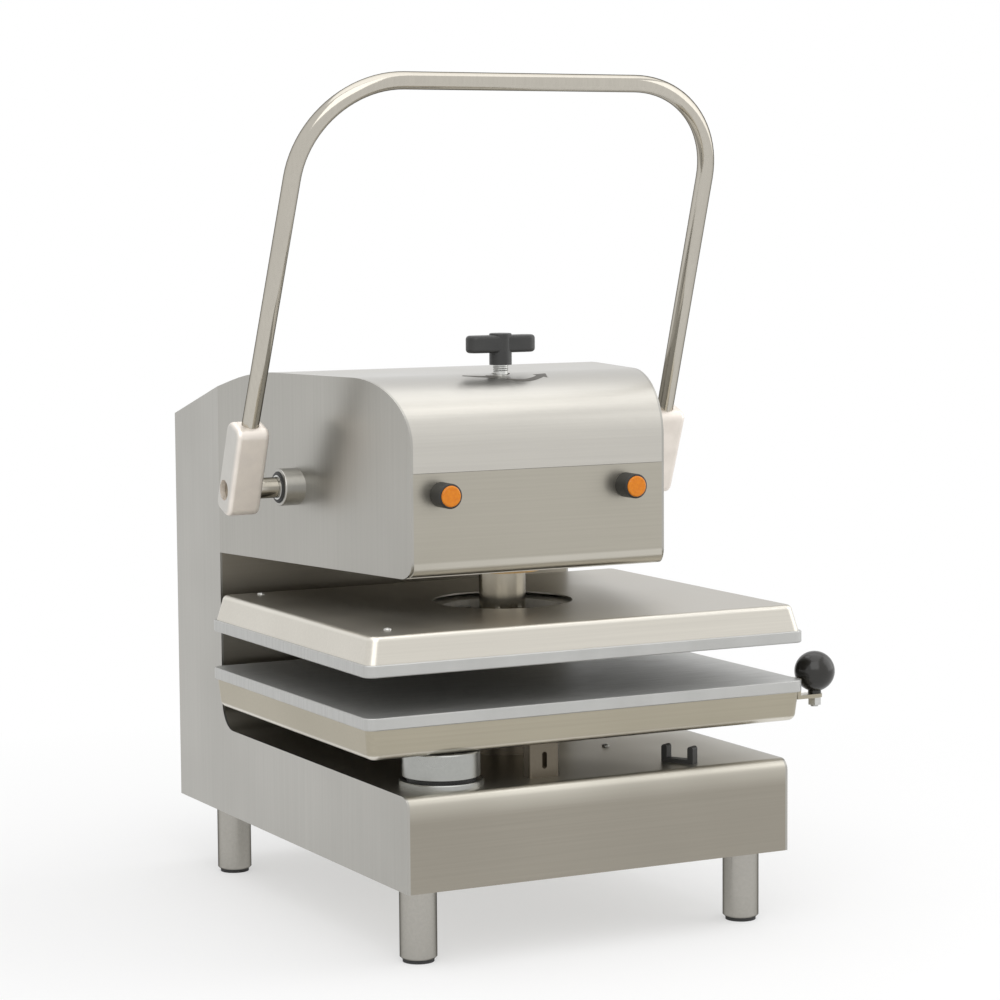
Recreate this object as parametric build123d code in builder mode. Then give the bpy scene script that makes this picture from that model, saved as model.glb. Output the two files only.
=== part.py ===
from build123d import *
from math import acos, cos, pi, radians, sin, sqrt, tan
import os

# Manual heated tortilla press, in millimetres. The origin is the point on the counter straight
# under the axis of the ram: +X to the operator's right, +Y to the back, +Z up.
os.makedirs("parts", exist_ok=True)

# Fits and clearances
RUN = 0.05              # radial running clearance of a shaft in its bore
SEAT = 0.3              # gap between pieces that slide over each other
HEAD_SEAM = 0.3         # seam between the hood and the front panel

# Enclosure
BODY_WIDTH = 440.0      # over the side plates
BODY_FRONT = 221.0      # from the ram axis to the front of the base
BODY_BACK = 388.0       # from the ram axis to the outside of the rear cover
SHEET = 2.0             # stainless sheet of the covers
SIDE_SHEET = 2.5        # stainless sheet of the side plates
LEG_HEIGHT = 78.0
BASE_HEIGHT = 96.5
BASE_EDGE_RADIUS = 12.0
THROAT_Y = 257.0        # front of the rear column
THROAT_RADIUS = 30.0

# Head
HEAD_BOTTOM = 371.0
HEAD_TOP = 575.0
HEAD_FRONT = 88.0       # from the ram axis to the front of the head
HEAD_FRONT_WIDTH = 298.0
HEAD_CORNER_RADIUS = 18.0
BROW_DEPTH = 98.0       # the curve between the head's front and top
BROW_HEIGHT = 67.0
REAR_TOP = 519.0        # height of the head's back edge
REAR_BEND_Y = 189.0
REAR_BEND_RADIUS = 300.0
REAR_LIP = 37.0         # how far the hood laps over the rear cover
VENT_ROWS = 6
VENT_SPACING = 12.0
VENT_LENGTH = 110.0
VENT_HEIGHT = 4.0
VENT_LOW_Z = 225.0      # middles of the two banks of louvres
VENT_HIGH_Z = 420.0
PANEL_TOP = 480.0       # seam between the hood and the front panel
PANEL_BOTTOM = 373.0
PANEL_ROLL = 9.0        # rolled lip under the front panel
PANEL_RETURN = 16.0

# Legs
LEG_DIAMETER = 38.0
LEG_CHAMFER = 1.5
LEG_SIDE_INSET = 31.0
LEG_FRONT_INSET = 43.0
LEG_BACK_INSET = 84.0
FOOT_PAD = 4.0
FOOT_DIAMETER = 32.0
FOOT_SPIGOT = 8.0
FOOT_SPIGOT_DIAMETER = 14.0

# Lever
SHAFT_Y = 113.0
SHAFT_Z = 454.4
SHAFT_DIAMETER = 22.0
HANDLE_SPACING = 507.0  # between the two arms, at the shaft
HANDLE_REACH = 456.3    # from the shaft to the hand bar
HANDLE_TAPER = 12.5     # how far each arm leans in
HANDLE_LEAN = 21.2      # degrees forward of upright
HANDLE_BEND = 109.0
TUBE_DIAMETER = 18.5
TUBE_WALL = 2.0
HUB_THICKNESS = 38.0
HUB_DEPTH = 34.0
HUB_FOOT = 26.0         # from the shaft's axis down to the end of the hub
HUB_HEIGHT = 75.0       # from the shaft's axis up to the top of the hub
HUB_SOCKET = 36.0       # how deep the tube is plugged in
HUB_CORNER = 10.0
HUB_EDGE = 6.0
HUB_RECESS = 5.0
SHAFT_CHAMFER = 1.5
SET_SCREW_DIAMETER = 8.0
SET_SCREW_LENGTH = 5.0
BEARING_WALL = 6.0
BOSS_DIAMETER = 40.0    # stainless boss where the shaft leaves the head
BOSS_STAND = 210.0      # from the middle of the press to the boss's outer face
BOSS_FILLET = 2.0
BUSHING_DIAMETER = 34.0
BUSHING_CHAMFER = 1.0
BUSHING_PROUD = 1.5     # how far the bushing stands out of its boss
BUSHING_LENGTH = 30.0

# Rack and sector gear
GEAR_MODULE = 4.0
GEAR_TEETH = 20         # teeth of the full circle that the sector is cut from
SECTOR_TEETH = 6
GEAR_WIDTH = 24.0
GEAR_HUB_DIAMETER = 50.0
PRESSURE_ANGLE = 20.0
BACKLASH = 0.5
RACK_TEETH = 5
RACK_BACKING = 9.0

# Ram and its guide
RAM_DIAMETER = 50.0
RAM_TRAVEL = 36.0
BUSH_WALL = 7.0
BUSH_FLANGE = 8.0
BUSH_FLANGE_DIAMETER = 82.0
GUIDE_HEIGHT = 52.0
GUIDE_DEPTH = 66.0
CROSSHEAD_WIDTH = 168.0
CROSSHEAD_FRONT = 36.0
CROSSHEAD_HEIGHT = 44.0
CROSSHEAD_GAP = 4.0     # left between the crosshead and its guide at full travel
CAP_THICKNESS = 8.0
LIFT_SPACING = 140.0    # between the two gas lift springs
LIFT_BODY_DIAMETER = 20.0
LIFT_ROD_DIAMETER = 10.0
LIFT_END = 6.0          # floor of a cylinder, and its stand above the guide block
LIFT_SPARE = 2.0        # left under a rod at full travel

# Inner frame
FRAME_SPACING = 200.0   # between the inner faces of the two frame plates
FRAME_PLATE = 10.0
FRAME_BASE_FRONT = 150.0
FRAME_BACK = 380.0
FRAME_REAR_TOP = 505.0
FRAME_SLOPE_Y = 230.0
FRAME_ARM_FRONT = 50.0
FRAME_HEADROOM = 30.0   # from the top of the head down to the frame's arms
FRAME_COLUMN_Y = 300.0
FRAME_FILLET = 25.0
BEAM_LENGTH = 110.0
BEAM_THICKNESS = 20.0
BOLT_DIAMETER = 10.0

# Platens
PLATEN_WIDTH = 508.0
PLATEN_DEPTH = 406.0
PLATEN_THICKNESS = 12.4
PLATEN_CORNER = 12.0
PLATEN_CHAMFER = 1.0
PLATEN_GAP = 40.0       # opening between the platens with the handle up
LOWER_PLATEN_TOP = 252.9
PAN_HEIGHT = 31.0
PAN_SHEET = 1.5
PAN_FOLD = 8.0          # rounded edge round the pan's floor
PAN_DRAFT = 3.0         # how far the pan's sides lean in
COVER_HEIGHT = 27.0
COVER_FOLD = 6.0        # rounded edge round the cover's top
COVER_DRAFT = 6.0       # how far the cover's sides lean in
COVER_CORNER = 10.0
COVER_STEP = 3.0        # the platen's rim stands out past its cover or pan by this
COVER_OPENING = 150.0
FLANGE_DIAMETER = 112.0
FLANGE_THICKNESS = 12.0
BOLT_CIRCLE_DIAMETER = 88.0
FLANGE_BOLTS = 4
HEATER_DIAMETER = 8.0
HEATER_OUTER_ROW = 148.0
HEATER_INNER_ROW = 66.0
HEATER_SIDES = 8
HEATER_HALF_LENGTH = 199.0
HEATER_BEND = 30.0
INSULATION = 12.0
INSULATION_INSET = 22.0
INSULATION_OPENING = 130.0
THERMOSTAT_X = 120.0
THERMOSTAT_DIAMETER = 24.0

# Swing-out pivot, rest points and pull knob of the lower platen
PIVOT_X = -156.0
PIVOT_Y = -166.0
POST_DIAMETER = 30.0
POST_TOP_GAP = 1.0
BARREL_DIAMETER = 79.0
PIVOT_FLANGE_DIAMETER = 86.0
PIVOT_FLANGE = 5.5
WASHER_DIAMETER = 70.0
WASHER = 3.0
FLANGE_CHAMFER = 1.0
PEDESTAL_DIAMETER = 120.0
REST_X = -49.0
REST_Y = -178.0
REST_WIDTH = 34.0
REST_DEPTH = 16.0
REST_SLOT = 5.5
REST_FILLET = 3.0
STOP_X = 113.0
STOP_Y = -180.0
STOP_TURN = -60.0       # degrees from the press's width
STOP_LENGTH = 37.5
STOP_DEPTH = 10.0
STOP_EAR = 6.5
STOP_HEIGHT = 18.0
STOP_FILLET = 3.0
KNOB_OFFSET = 26.0      # from the platen's edge to the stud
KNOB_Y = -180.0
BALL_DIAMETER = 43.0
BALL_Z = 257.5
STUD_DIAMETER = 8.0
KNOB_NECK_DIAMETER = 14.0
BRACKET_WIDTH = 16.0
BRACKET_SHEET = 4.0
BRACKET_DROP = 19.0     # from the platen's top to the bracket's tab
STUD_NUT_SIZE = 15.0    # over its corners
STUD_NUT = 8.0
STUD_END = 2.0          # length of stud under its nut

# Thickness adjuster
ADJUST_TRAVEL = 6.0     # how far the knob can raise the stop nut
SCREW_DIAMETER = 16.0
BRIDGE_THICKNESS = 15.0
BRIDGE_DEPTH = 60.0
COLLAR_DIAMETER = 30.0
COLLAR_HEIGHT = 8.0
NUT_SIZE = 30.0
NUT_HEIGHT = 12.0
NUT_CLEARANCE = 0.4
SCREW_TAIL = 2.0
BORE_SPARE = 6.0
CAP_BORE = 19.0
KNOB_RISE = 9.0         # from the top of the head to the knob
KNOB_STEM = 13.0        # from the knob's lower end to its bar
KNOB_STEM_DIAMETER = 24.0
KNOB_BAR_LENGTH = 80.0
KNOB_BAR_DEPTH = 22.0
KNOB_BAR_HEIGHT = 18.5
KNOB_CROWN = 2.0        # how far the stem stands out over the bar
CROWN_FILLET = 1.5
KNOB_SOCKET = 10.0
KNOB_EDGE = 4.0

# Lamps, switch and cord entry
LEFT_LAMP_X = -115.0
RIGHT_LAMP_X = 102.5
LAMP_Z = 457.8
LAMP_DIAMETER = 26.0
LAMP_LENGTH = 23.0
LENS_DIAMETER = 22.0
LENS_DOME = 2.0
LENS_SEAT = 4.0
LAMP_THREAD = 20.0
LAMP_CHAMFER = 1.0
LAMP_BACK = 16.0
SWITCH_X = -130.0
SWITCH_Z = 128.0
SWITCH_WIDTH = 22.0
SWITCH_HEIGHT = 30.0
SWITCH_RIM = 2.0
SWITCH_BODY = 18.0
SWITCH_WELL = 9.0
ROCKER_SINK = 3.0
ROCKER_ROOT = 3.5
ROCKER_RISE = 6.5
ROCKER_DISH = 2.0
ROCKER_END_GAP = 1.6
ROCKER_TILT = 9.0       # degrees, switched off
TRUNNION_DIAMETER = 3.0
TRUNNION_LENGTH = 1.2
GLAND_X = 130.0
GLAND_Z = 128.0
CORD_DIAMETER = 10.0
GLAND_DIAMETER = 24.0
GLAND_THREAD = 16.0
GLAND_HEX = 6.0
GLAND_NOSE = 9.0
GLAND_TAIL = 12.0
SCREW_HEAD = 8.0
SCREW_HEIGHT = 2.4
SCREW_INSET = 12.0

# Places worked out from the sizes above
HALF_WIDTH = BODY_WIDTH / 2
INNER_HALF = HALF_WIDTH - SIDE_SHEET
BASE_TOP = LEG_HEIGHT + BASE_HEIGHT
REAR_SLOPE = (HEAD_TOP - REAR_TOP) / (BODY_BACK - REAR_BEND_Y)
LOWER_PLATEN_BOTTOM = LOWER_PLATEN_TOP - PLATEN_THICKNESS
PAN_BOTTOM = LOWER_PLATEN_BOTTOM - PAN_HEIGHT
UPPER_PLATEN_BOTTOM = LOWER_PLATEN_TOP + PLATEN_GAP
UPPER_PLATEN_TOP = UPPER_PLATEN_BOTTOM + PLATEN_THICKNESS
COVER_TOP = UPPER_PLATEN_TOP + COVER_HEIGHT
GUIDE_BOTTOM = HEAD_BOTTOM + SHEET
GUIDE_TOP = GUIDE_BOTTOM + GUIDE_HEIGHT
CROSSHEAD_BOTTOM = GUIDE_TOP + LIFT_END + RAM_TRAVEL + CROSSHEAD_GAP
CROSSHEAD_TOP = CROSSHEAD_BOTTOM + CROSSHEAD_HEIGHT
NUT_TOP = CROSSHEAD_TOP - CAP_THICKNESS - RAM_TRAVEL - ADJUST_TRAVEL - SEAT
FRAME_ARM_TOP = HEAD_TOP - FRAME_HEADROOM
GEAR_RADIUS = GEAR_MODULE * GEAR_TEETH / 2
RACK_PITCH_Y = SHAFT_Y - GEAR_RADIUS
RACK_PITCH = pi * GEAR_MODULE
FRAME_X = FRAME_SPACING / 2
HANDLE_X = HANDLE_SPACING / 2


def top_height(y, inset=0.0):
    """Height of the straight rear slope of the head at depth y, inset under the sheet."""
    return REAR_TOP + REAR_SLOPE * (BODY_BACK - y) - inset * sqrt(1 + REAR_SLOPE**2)


def head_roof(inset, back):
    """Draws the front, brow, top and rear slope of the head, inset by a sheet's thickness."""
    front = -HEAD_FRONT + inset
    top = HEAD_TOP - inset
    spring_line = HEAD_TOP - BROW_HEIGHT
    crown_y = -HEAD_FRONT + BROW_DEPTH
    face = Line((front, HEAD_BOTTOM), (front, spring_line))
    EllipticalCenterArc(
        (crown_y, spring_line), BROW_DEPTH - inset, BROW_HEIGHT - inset,
        start_angle=90, arc_size=90,
    )
    roof = FilletPolyline(
        (crown_y, top),
        (REAR_BEND_Y, top),
        (back, top_height(back, inset)),
        radius=REAR_BEND_RADIUS - inset,
    )
    return face, roof


def head_region(inset=0.0, back=BODY_BACK, mode=Mode.ADD):
    """Closed side view of the head, from its bottom edge up to the roof."""
    with BuildLine() as outline:
        face, roof = head_roof(inset, back)
        Polyline(roof @ 1, (back, HEAD_BOTTOM), face @ 0)
    make_face(outline.edges(), mode=mode)


def head_plan(inset, back, overrun=0.0):
    """Plan of the head, tapered to its front, inset from its sides and run on past its ends."""
    wide = HALF_WIDTH - inset
    taper = (HALF_WIDTH - HEAD_FRONT_WIDTH / 2) / (THROAT_Y + HEAD_FRONT)
    narrow = HEAD_FRONT_WIDTH / 2 - inset - taper * overrun
    front = -HEAD_FRONT - overrun
    with BuildLine() as outline:
        Polyline(
            (-wide, back + overrun), (-wide, THROAT_Y), (-narrow, front),
            (narrow, front), (wide, THROAT_Y), (wide, back + overrun),
            close=True,
        )
    make_face(outline.edges())


def sheet_fold(offset, radii):
    """Line of the base's front, top and column wall, offset inwards by a thickness."""
    return FilletPolyline(
        (THROAT_Y + offset, HEAD_BOTTOM),
        (THROAT_Y + offset, BASE_TOP - offset),
        (-BODY_FRONT + offset, BASE_TOP - offset),
        (-BODY_FRONT + offset, LEG_HEIGHT + SHEET),
        radius=radii,
    )


def write(piece, name):
    """Labels a finished piece and writes it under its own name."""
    piece.part.label = name
    export_step(piece.part, f"parts/{name}.step")


# Boss of the lever shaft, from its outer face in to the inside of the tapered side plate
with BuildPart() as shaft_boss:
    with BuildSketch(Plane.YZ.offset(-BOSS_STAND)):
        with Locations((SHAFT_Y, SHAFT_Z)):
            Circle(BOSS_DIAMETER / 2)
    extrude(amount=HALF_WIDTH)
    fillet(shaft_boss.edges().filter_by(GeomType.CIRCLE).sort_by(Axis.X)[0], BOSS_FILLET)
    with BuildSketch(Plane.XY.offset(HEAD_BOTTOM)):
        head_plan(SIDE_SHEET, BODY_BACK, overrun=SHEET)
    extrude(amount=HEAD_TOP - HEAD_BOTTOM, mode=Mode.SUBTRACT)

# Side plates: a flat base and column, with the head's side bent in towards the front
with BuildPart() as left_side_plate:
    with BuildSketch(Plane.YZ.offset(-HALF_WIDTH)) as side_view:
        head_region()
        fillet(side_view.vertices().sort_by_distance((-HEAD_FRONT, HEAD_BOTTOM))[0], HEAD_CORNER_RADIUS)
    extrude(amount=HALF_WIDTH)
    with BuildSketch(Plane.XY.offset(HEAD_BOTTOM)):
        with BuildLine():
            Polyline(
                (-HALF_WIDTH, BODY_BACK), (-HALF_WIDTH, THROAT_Y),
                (-HEAD_FRONT_WIDTH / 2, -HEAD_FRONT),
                (-HEAD_FRONT_WIDTH / 2 + SIDE_SHEET, -HEAD_FRONT),
                (-INNER_HALF, THROAT_Y), (-INNER_HALF, BODY_BACK),
                close=True,
            )
        make_face()
    extrude(amount=HEAD_TOP - HEAD_BOTTOM, mode=Mode.INTERSECT)
    with BuildSketch(Plane.YZ.offset(-HALF_WIDTH)):
        with BuildLine():
            fold = FilletPolyline(
                (THROAT_Y, HEAD_BOTTOM), (THROAT_Y, BASE_TOP),
                (-BODY_FRONT, BASE_TOP), (-BODY_FRONT, LEG_HEIGHT),
                radius=[THROAT_RADIUS, BASE_EDGE_RADIUS],
            )
            Polyline(fold @ 1, (BODY_BACK, LEG_HEIGHT), (BODY_BACK, HEAD_BOTTOM), fold @ 0)
        make_face()
    extrude(amount=SIDE_SHEET)
    add(shaft_boss.part)
    with BuildSketch(Plane.YZ.offset(-HALF_WIDTH)):
        with Locations((SHAFT_Y, SHAFT_Z)):
            Circle(BUSHING_DIAMETER / 2)
    extrude(amount=HALF_WIDTH, mode=Mode.SUBTRACT)
write(left_side_plate, "left_side_plate")

with BuildPart() as right_side_plate:
    mirror(left_side_plate.part, about=Plane.YZ)
write(right_side_plate, "right_side_plate")

# Base cover: front wall, top and the column's front wall, folded from one sheet
with BuildPart() as base_cover:
    with BuildSketch(Plane.YZ.offset(-INNER_HALF)):
        with BuildLine():
            outside = sheet_fold(0, [THROAT_RADIUS, BASE_EDGE_RADIUS])
            inside = sheet_fold(SHEET, [THROAT_RADIUS + SHEET, BASE_EDGE_RADIUS - SHEET])
            Line(outside @ 0, inside @ 0)
            Line(outside @ 1, inside @ 1)
        make_face()
    extrude(amount=2 * INNER_HALF)
write(base_cover, "base_cover")

with BuildPart() as base_bottom_plate:
    with BuildSketch(Plane.XY.offset(LEG_HEIGHT)):
        with Locations((0, (BODY_BACK - BODY_FRONT) / 2)):
            Rectangle(2 * INNER_HALF, BODY_FRONT + BODY_BACK)
    extrude(amount=SHEET)
write(base_bottom_plate, "base_bottom_plate")

# Rear cover with banks of cooling louvres, a switch opening and the cord entry
REAR_COVER_BOTTOM = LEG_HEIGHT + SHEET
REAR_COVER_TOP = top_height(BODY_BACK, SHEET)
with BuildPart() as rear_cover:
    with BuildSketch(Plane.XZ.offset(-BODY_BACK)):
        with Locations((0, (REAR_COVER_BOTTOM + REAR_COVER_TOP) / 2)):
            Rectangle(2 * INNER_HALF, REAR_COVER_TOP - REAR_COVER_BOTTOM)
        for bank in (VENT_LOW_Z, VENT_HIGH_Z):
            with Locations((0, bank)):
                with GridLocations(1, VENT_SPACING, 1, VENT_ROWS):
                    SlotOverall(VENT_LENGTH, VENT_HEIGHT, mode=Mode.SUBTRACT)
        with Locations((SWITCH_X, SWITCH_Z)):
            Rectangle(SWITCH_WIDTH, SWITCH_HEIGHT, mode=Mode.SUBTRACT)
        with Locations((GLAND_X, GLAND_Z)):
            Circle(GLAND_THREAD / 2, mode=Mode.SUBTRACT)
    extrude(amount=SHEET)
write(rear_cover, "rear_cover")

# Hood: the upper front, brow, top and rear slope of the head, with a lip over the rear cover
LIP_BACK = BODY_BACK + SHEET
LIP_BOTTOM = REAR_TOP - REAR_LIP
with BuildPart() as head_hood:
    with BuildSketch(Plane.YZ.offset(-HALF_WIDTH)):
        head_region(0, LIP_BACK)
        head_region(SHEET, BODY_BACK, mode=Mode.SUBTRACT)
        with Locations((-HEAD_FRONT, PANEL_TOP + HEAD_SEAM)):
            Rectangle(4 * SHEET, BODY_WIDTH, align=(Align.CENTER, Align.MAX), mode=Mode.SUBTRACT)
        with Locations((LIP_BACK, LIP_BOTTOM)):
            Rectangle(4 * SHEET, BODY_WIDTH, align=(Align.CENTER, Align.MAX), mode=Mode.SUBTRACT)
    extrude(amount=BODY_WIDTH)
    with BuildSketch(Plane.XY.offset(HEAD_BOTTOM)):
        head_plan(SIDE_SHEET, LIP_BACK, overrun=SHEET)
    extrude(amount=HEAD_TOP - HEAD_BOTTOM, mode=Mode.INTERSECT)
    with BuildSketch(Plane.XY.offset(HEAD_TOP)):
        Circle(SCREW_DIAMETER / 2 + 2)
    extrude(amount=-BROW_HEIGHT, mode=Mode.SUBTRACT)
write(head_hood, "head_hood")

# Front panel under the hood, with the lamp holes and a rolled lower lip
with BuildPart() as head_front_panel:
    with BuildSketch(Plane.YZ.offset(-HALF_WIDTH)):
        with BuildLine():
            lip = FilletPolyline(
                (-HEAD_FRONT, PANEL_TOP), (-HEAD_FRONT, PANEL_BOTTOM),
                (-HEAD_FRONT + PANEL_RETURN, PANEL_BOTTOM),
                radius=PANEL_ROLL,
            )
            back_of_lip = FilletPolyline(
                (-HEAD_FRONT + SHEET, PANEL_TOP), (-HEAD_FRONT + SHEET, PANEL_BOTTOM + SHEET),
                (-HEAD_FRONT + PANEL_RETURN, PANEL_BOTTOM + SHEET),
                radius=PANEL_ROLL - SHEET,
            )
            Line(lip @ 0, back_of_lip @ 0)
            Line(lip @ 1, back_of_lip @ 1)
        make_face()
    extrude(amount=BODY_WIDTH)
    with BuildSketch(Plane.XY.offset(HEAD_BOTTOM)):
        head_plan(SIDE_SHEET, LIP_BACK, overrun=SHEET)
    extrude(amount=HEAD_TOP - HEAD_BOTTOM, mode=Mode.INTERSECT)
    with BuildSketch(Plane.XZ.offset(HEAD_FRONT)):
        with Locations((LEFT_LAMP_X, LAMP_Z), (RIGHT_LAMP_X, LAMP_Z)):
            Circle(LAMP_THREAD / 2)
    extrude(amount=-2 * SHEET, mode=Mode.SUBTRACT)
write(head_front_panel, "head_front_panel")

with BuildPart() as head_bottom_plate:
    with BuildSketch(Plane.XY.offset(HEAD_BOTTOM)):
        head_plan(SIDE_SHEET, THROAT_Y + SHEET)
        with Locations((0, -HEAD_FRONT)):
            Rectangle(BODY_WIDTH, 2 * PANEL_RETURN, mode=Mode.SUBTRACT)
        Circle(BUSH_FLANGE_DIAMETER / 2 + SEAT, mode=Mode.SUBTRACT)
    extrude(amount=SHEET)
write(head_bottom_plate, "head_bottom_plate")

# Inner frame: two heavy C-shaped plates that take the pressing force
for side, name in ((-1, "left_frame_plate"), (1, "right_frame_plate")):
    with BuildPart() as frame_plate:
        with BuildSketch(Plane.YZ.offset(FRAME_X if side > 0 else -FRAME_X - FRAME_PLATE)):
            with BuildLine():
                Polyline(
                    (-FRAME_BASE_FRONT, LEG_HEIGHT + SHEET), (FRAME_BACK, LEG_HEIGHT + SHEET),
                    (FRAME_BACK, FRAME_REAR_TOP), (FRAME_SLOPE_Y, FRAME_ARM_TOP),
                    (-FRAME_ARM_FRONT, FRAME_ARM_TOP), (-FRAME_ARM_FRONT, GUIDE_BOTTOM),
                    (FRAME_COLUMN_Y, GUIDE_BOTTOM), (FRAME_COLUMN_Y, BASE_TOP - SHEET),
                    (-FRAME_BASE_FRONT, BASE_TOP - SHEET),
                    close=True,
                )
            make_face()
            with Locations((SHAFT_Y, SHAFT_Z)):
                Circle(SHAFT_DIAMETER / 2 + BEARING_WALL, mode=Mode.SUBTRACT)
        extrude(amount=FRAME_PLATE)
        inner_corners = frame_plate.edges().filter_by(Axis.X).filter_by(
            lambda e: abs(e.center().Y - FRAME_COLUMN_Y) < 1
        )
        fillet(inner_corners, FRAME_FILLET)
    write(frame_plate, name)

# Bronze bearings of the lever shaft in the frame plates
with BuildPart() as shaft_bearings:
    with BuildSketch(Plane.YZ.offset(-FRAME_X - FRAME_PLATE)) as bearing_face:
        with Locations((SHAFT_Y, SHAFT_Z)):
            Circle(SHAFT_DIAMETER / 2 + BEARING_WALL)
            Circle(SHAFT_DIAMETER / 2 + RUN, mode=Mode.SUBTRACT)
    extrude(amount=FRAME_PLATE)
    mirror(about=Plane.YZ)
write(shaft_bearings, "shaft_bearings")

# Black bushings in the two bosses
with BuildPart() as shaft_bushings:
    with BuildSketch(Plane.YZ.offset(-BOSS_STAND - BUSHING_PROUD)):
        with Locations((SHAFT_Y, SHAFT_Z)):
            Circle(BUSHING_DIAMETER / 2)
            Circle(SHAFT_DIAMETER / 2 + SEAT, mode=Mode.SUBTRACT)
    extrude(amount=BUSHING_LENGTH)
    mouth = shaft_bushings.edges().filter_by(GeomType.CIRCLE).group_by(Axis.X)[0].sort_by(SortBy.RADIUS)
    chamfer(mouth[-1], BUSHING_CHAMFER)
    mirror(about=Plane.YZ)
write(shaft_bushings, "shaft_bushings")

# Beam under the base's top, between the frame plates
with BuildPart() as base_beam:
    with BuildSketch(Plane.XY.offset(BASE_TOP - SHEET - BEAM_THICKNESS)):
        Rectangle(FRAME_SPACING, BEAM_LENGTH)
    extrude(amount=BEAM_THICKNESS)
write(base_beam, "base_beam")

# Guide block of the ram, bolted between the frame plates
with BuildPart() as guide_block:
    with BuildSketch(Plane.XY.offset(GUIDE_BOTTOM)):
        Rectangle(FRAME_SPACING, GUIDE_DEPTH)
        Circle(RAM_DIAMETER / 2 + BUSH_WALL, mode=Mode.SUBTRACT)
        with GridLocations(LIFT_SPACING, 1, 2, 1):
            Circle(LIFT_BODY_DIAMETER / 2, mode=Mode.SUBTRACT)
    extrude(amount=GUIDE_HEIGHT)
write(guide_block, "guide_block")

# Flanged bronze bush of the ram, its flange under the guide block
with BuildPart() as ram_bush:
    with BuildSketch(Plane.XZ):
        with BuildLine():
            Polyline(
                (RAM_DIAMETER / 2 + RUN, GUIDE_TOP),
                (RAM_DIAMETER / 2 + BUSH_WALL, GUIDE_TOP),
                (RAM_DIAMETER / 2 + BUSH_WALL, GUIDE_BOTTOM),
                (BUSH_FLANGE_DIAMETER / 2, GUIDE_BOTTOM),
                (BUSH_FLANGE_DIAMETER / 2, GUIDE_BOTTOM - BUSH_FLANGE),
                (RAM_DIAMETER / 2 + RUN, GUIDE_BOTTOM - BUSH_FLANGE),
                close=True,
            )
        make_face()
    revolve(axis=Axis.Z)
write(ram_bush, "ram_bush")

# Cylinders of the two gas lift springs, standing in the guide block
LIFT_FLOOR = GUIDE_BOTTOM + LIFT_END
LIFT_BODY_TOP = GUIDE_TOP + LIFT_END
with BuildPart() as lift_cylinders:
    with BuildSketch(Plane.XY.offset(GUIDE_BOTTOM)):
        with GridLocations(LIFT_SPACING, 1, 2, 1):
            Circle(LIFT_BODY_DIAMETER / 2)
    extrude(amount=LIFT_BODY_TOP - GUIDE_BOTTOM)
    with BuildSketch(Plane.XY.offset(LIFT_FLOOR)):
        with GridLocations(LIFT_SPACING, 1, 2, 1):
            Circle(LIFT_ROD_DIAMETER / 2 + RUN)
    extrude(amount=LIFT_BODY_TOP - LIFT_FLOOR, mode=Mode.SUBTRACT)
write(lift_cylinders, "lift_cylinders")

# Bolts of the guide block and of the adjuster bridge, through the frame plates
with BuildPart() as frame_bolts:
    for height in (GUIDE_BOTTOM + GUIDE_HEIGHT / 4, GUIDE_BOTTOM + GUIDE_HEIGHT * 3 / 4):
        with BuildSketch(Plane.YZ.offset(FRAME_X + FRAME_PLATE)):
            with Locations((-GUIDE_DEPTH / 3, height), (GUIDE_DEPTH / 3, height)):
                RegularPolygon(BOLT_DIAMETER * 0.9, 6)
        extrude(amount=BOLT_DIAMETER * 0.65)
    mirror(about=Plane.YZ)
write(frame_bolts, "frame_bolts")

# Bridge that carries the thickness adjuster
BRIDGE_TOP = FRAME_ARM_TOP
BRIDGE_BOTTOM = BRIDGE_TOP - BRIDGE_THICKNESS
with BuildPart() as adjuster_bridge:
    with BuildSketch(Plane.XY.offset(BRIDGE_BOTTOM)):
        Rectangle(FRAME_SPACING, BRIDGE_DEPTH)
        Circle(SCREW_DIAMETER / 2 + RUN, mode=Mode.SUBTRACT)
    extrude(amount=BRIDGE_THICKNESS)
write(adjuster_bridge, "adjuster_bridge")

# Legs with pads
LEG_X = HALF_WIDTH - LEG_SIDE_INSET
LEG_PLACES = {
    "front_left_leg": (-LEG_X, -BODY_FRONT + LEG_FRONT_INSET),
    "front_right_leg": (LEG_X, -BODY_FRONT + LEG_FRONT_INSET),
    "back_left_leg": (-LEG_X, BODY_BACK - LEG_BACK_INSET),
    "back_right_leg": (LEG_X, BODY_BACK - LEG_BACK_INSET),
}
for name, place in LEG_PLACES.items():
    with BuildPart() as leg:
        with BuildSketch(Plane.XY.offset(FOOT_PAD)):
            with Locations(place):
                Circle(LEG_DIAMETER / 2)
        extrude(amount=LEG_HEIGHT - FOOT_PAD)
        chamfer(leg.edges().filter_by(GeomType.CIRCLE).sort_by(Axis.Z)[0], LEG_CHAMFER)
        with BuildSketch(Plane.XY.offset(FOOT_PAD)):
            with Locations(place):
                Circle(FOOT_SPIGOT_DIAMETER / 2)
        extrude(amount=FOOT_SPIGOT, mode=Mode.SUBTRACT)
    write(leg, name)

with BuildPart() as foot_pads:
    with BuildSketch():
        with Locations(*LEG_PLACES.values()):
            Circle(FOOT_DIAMETER / 2)
    extrude(amount=FOOT_PAD)
    with BuildSketch(Plane.XY.offset(FOOT_PAD)):
        with Locations(*LEG_PLACES.values()):
            Circle(FOOT_SPIGOT_DIAMETER / 2)
    extrude(amount=FOOT_SPIGOT)
write(foot_pads, "foot_pads")

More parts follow.
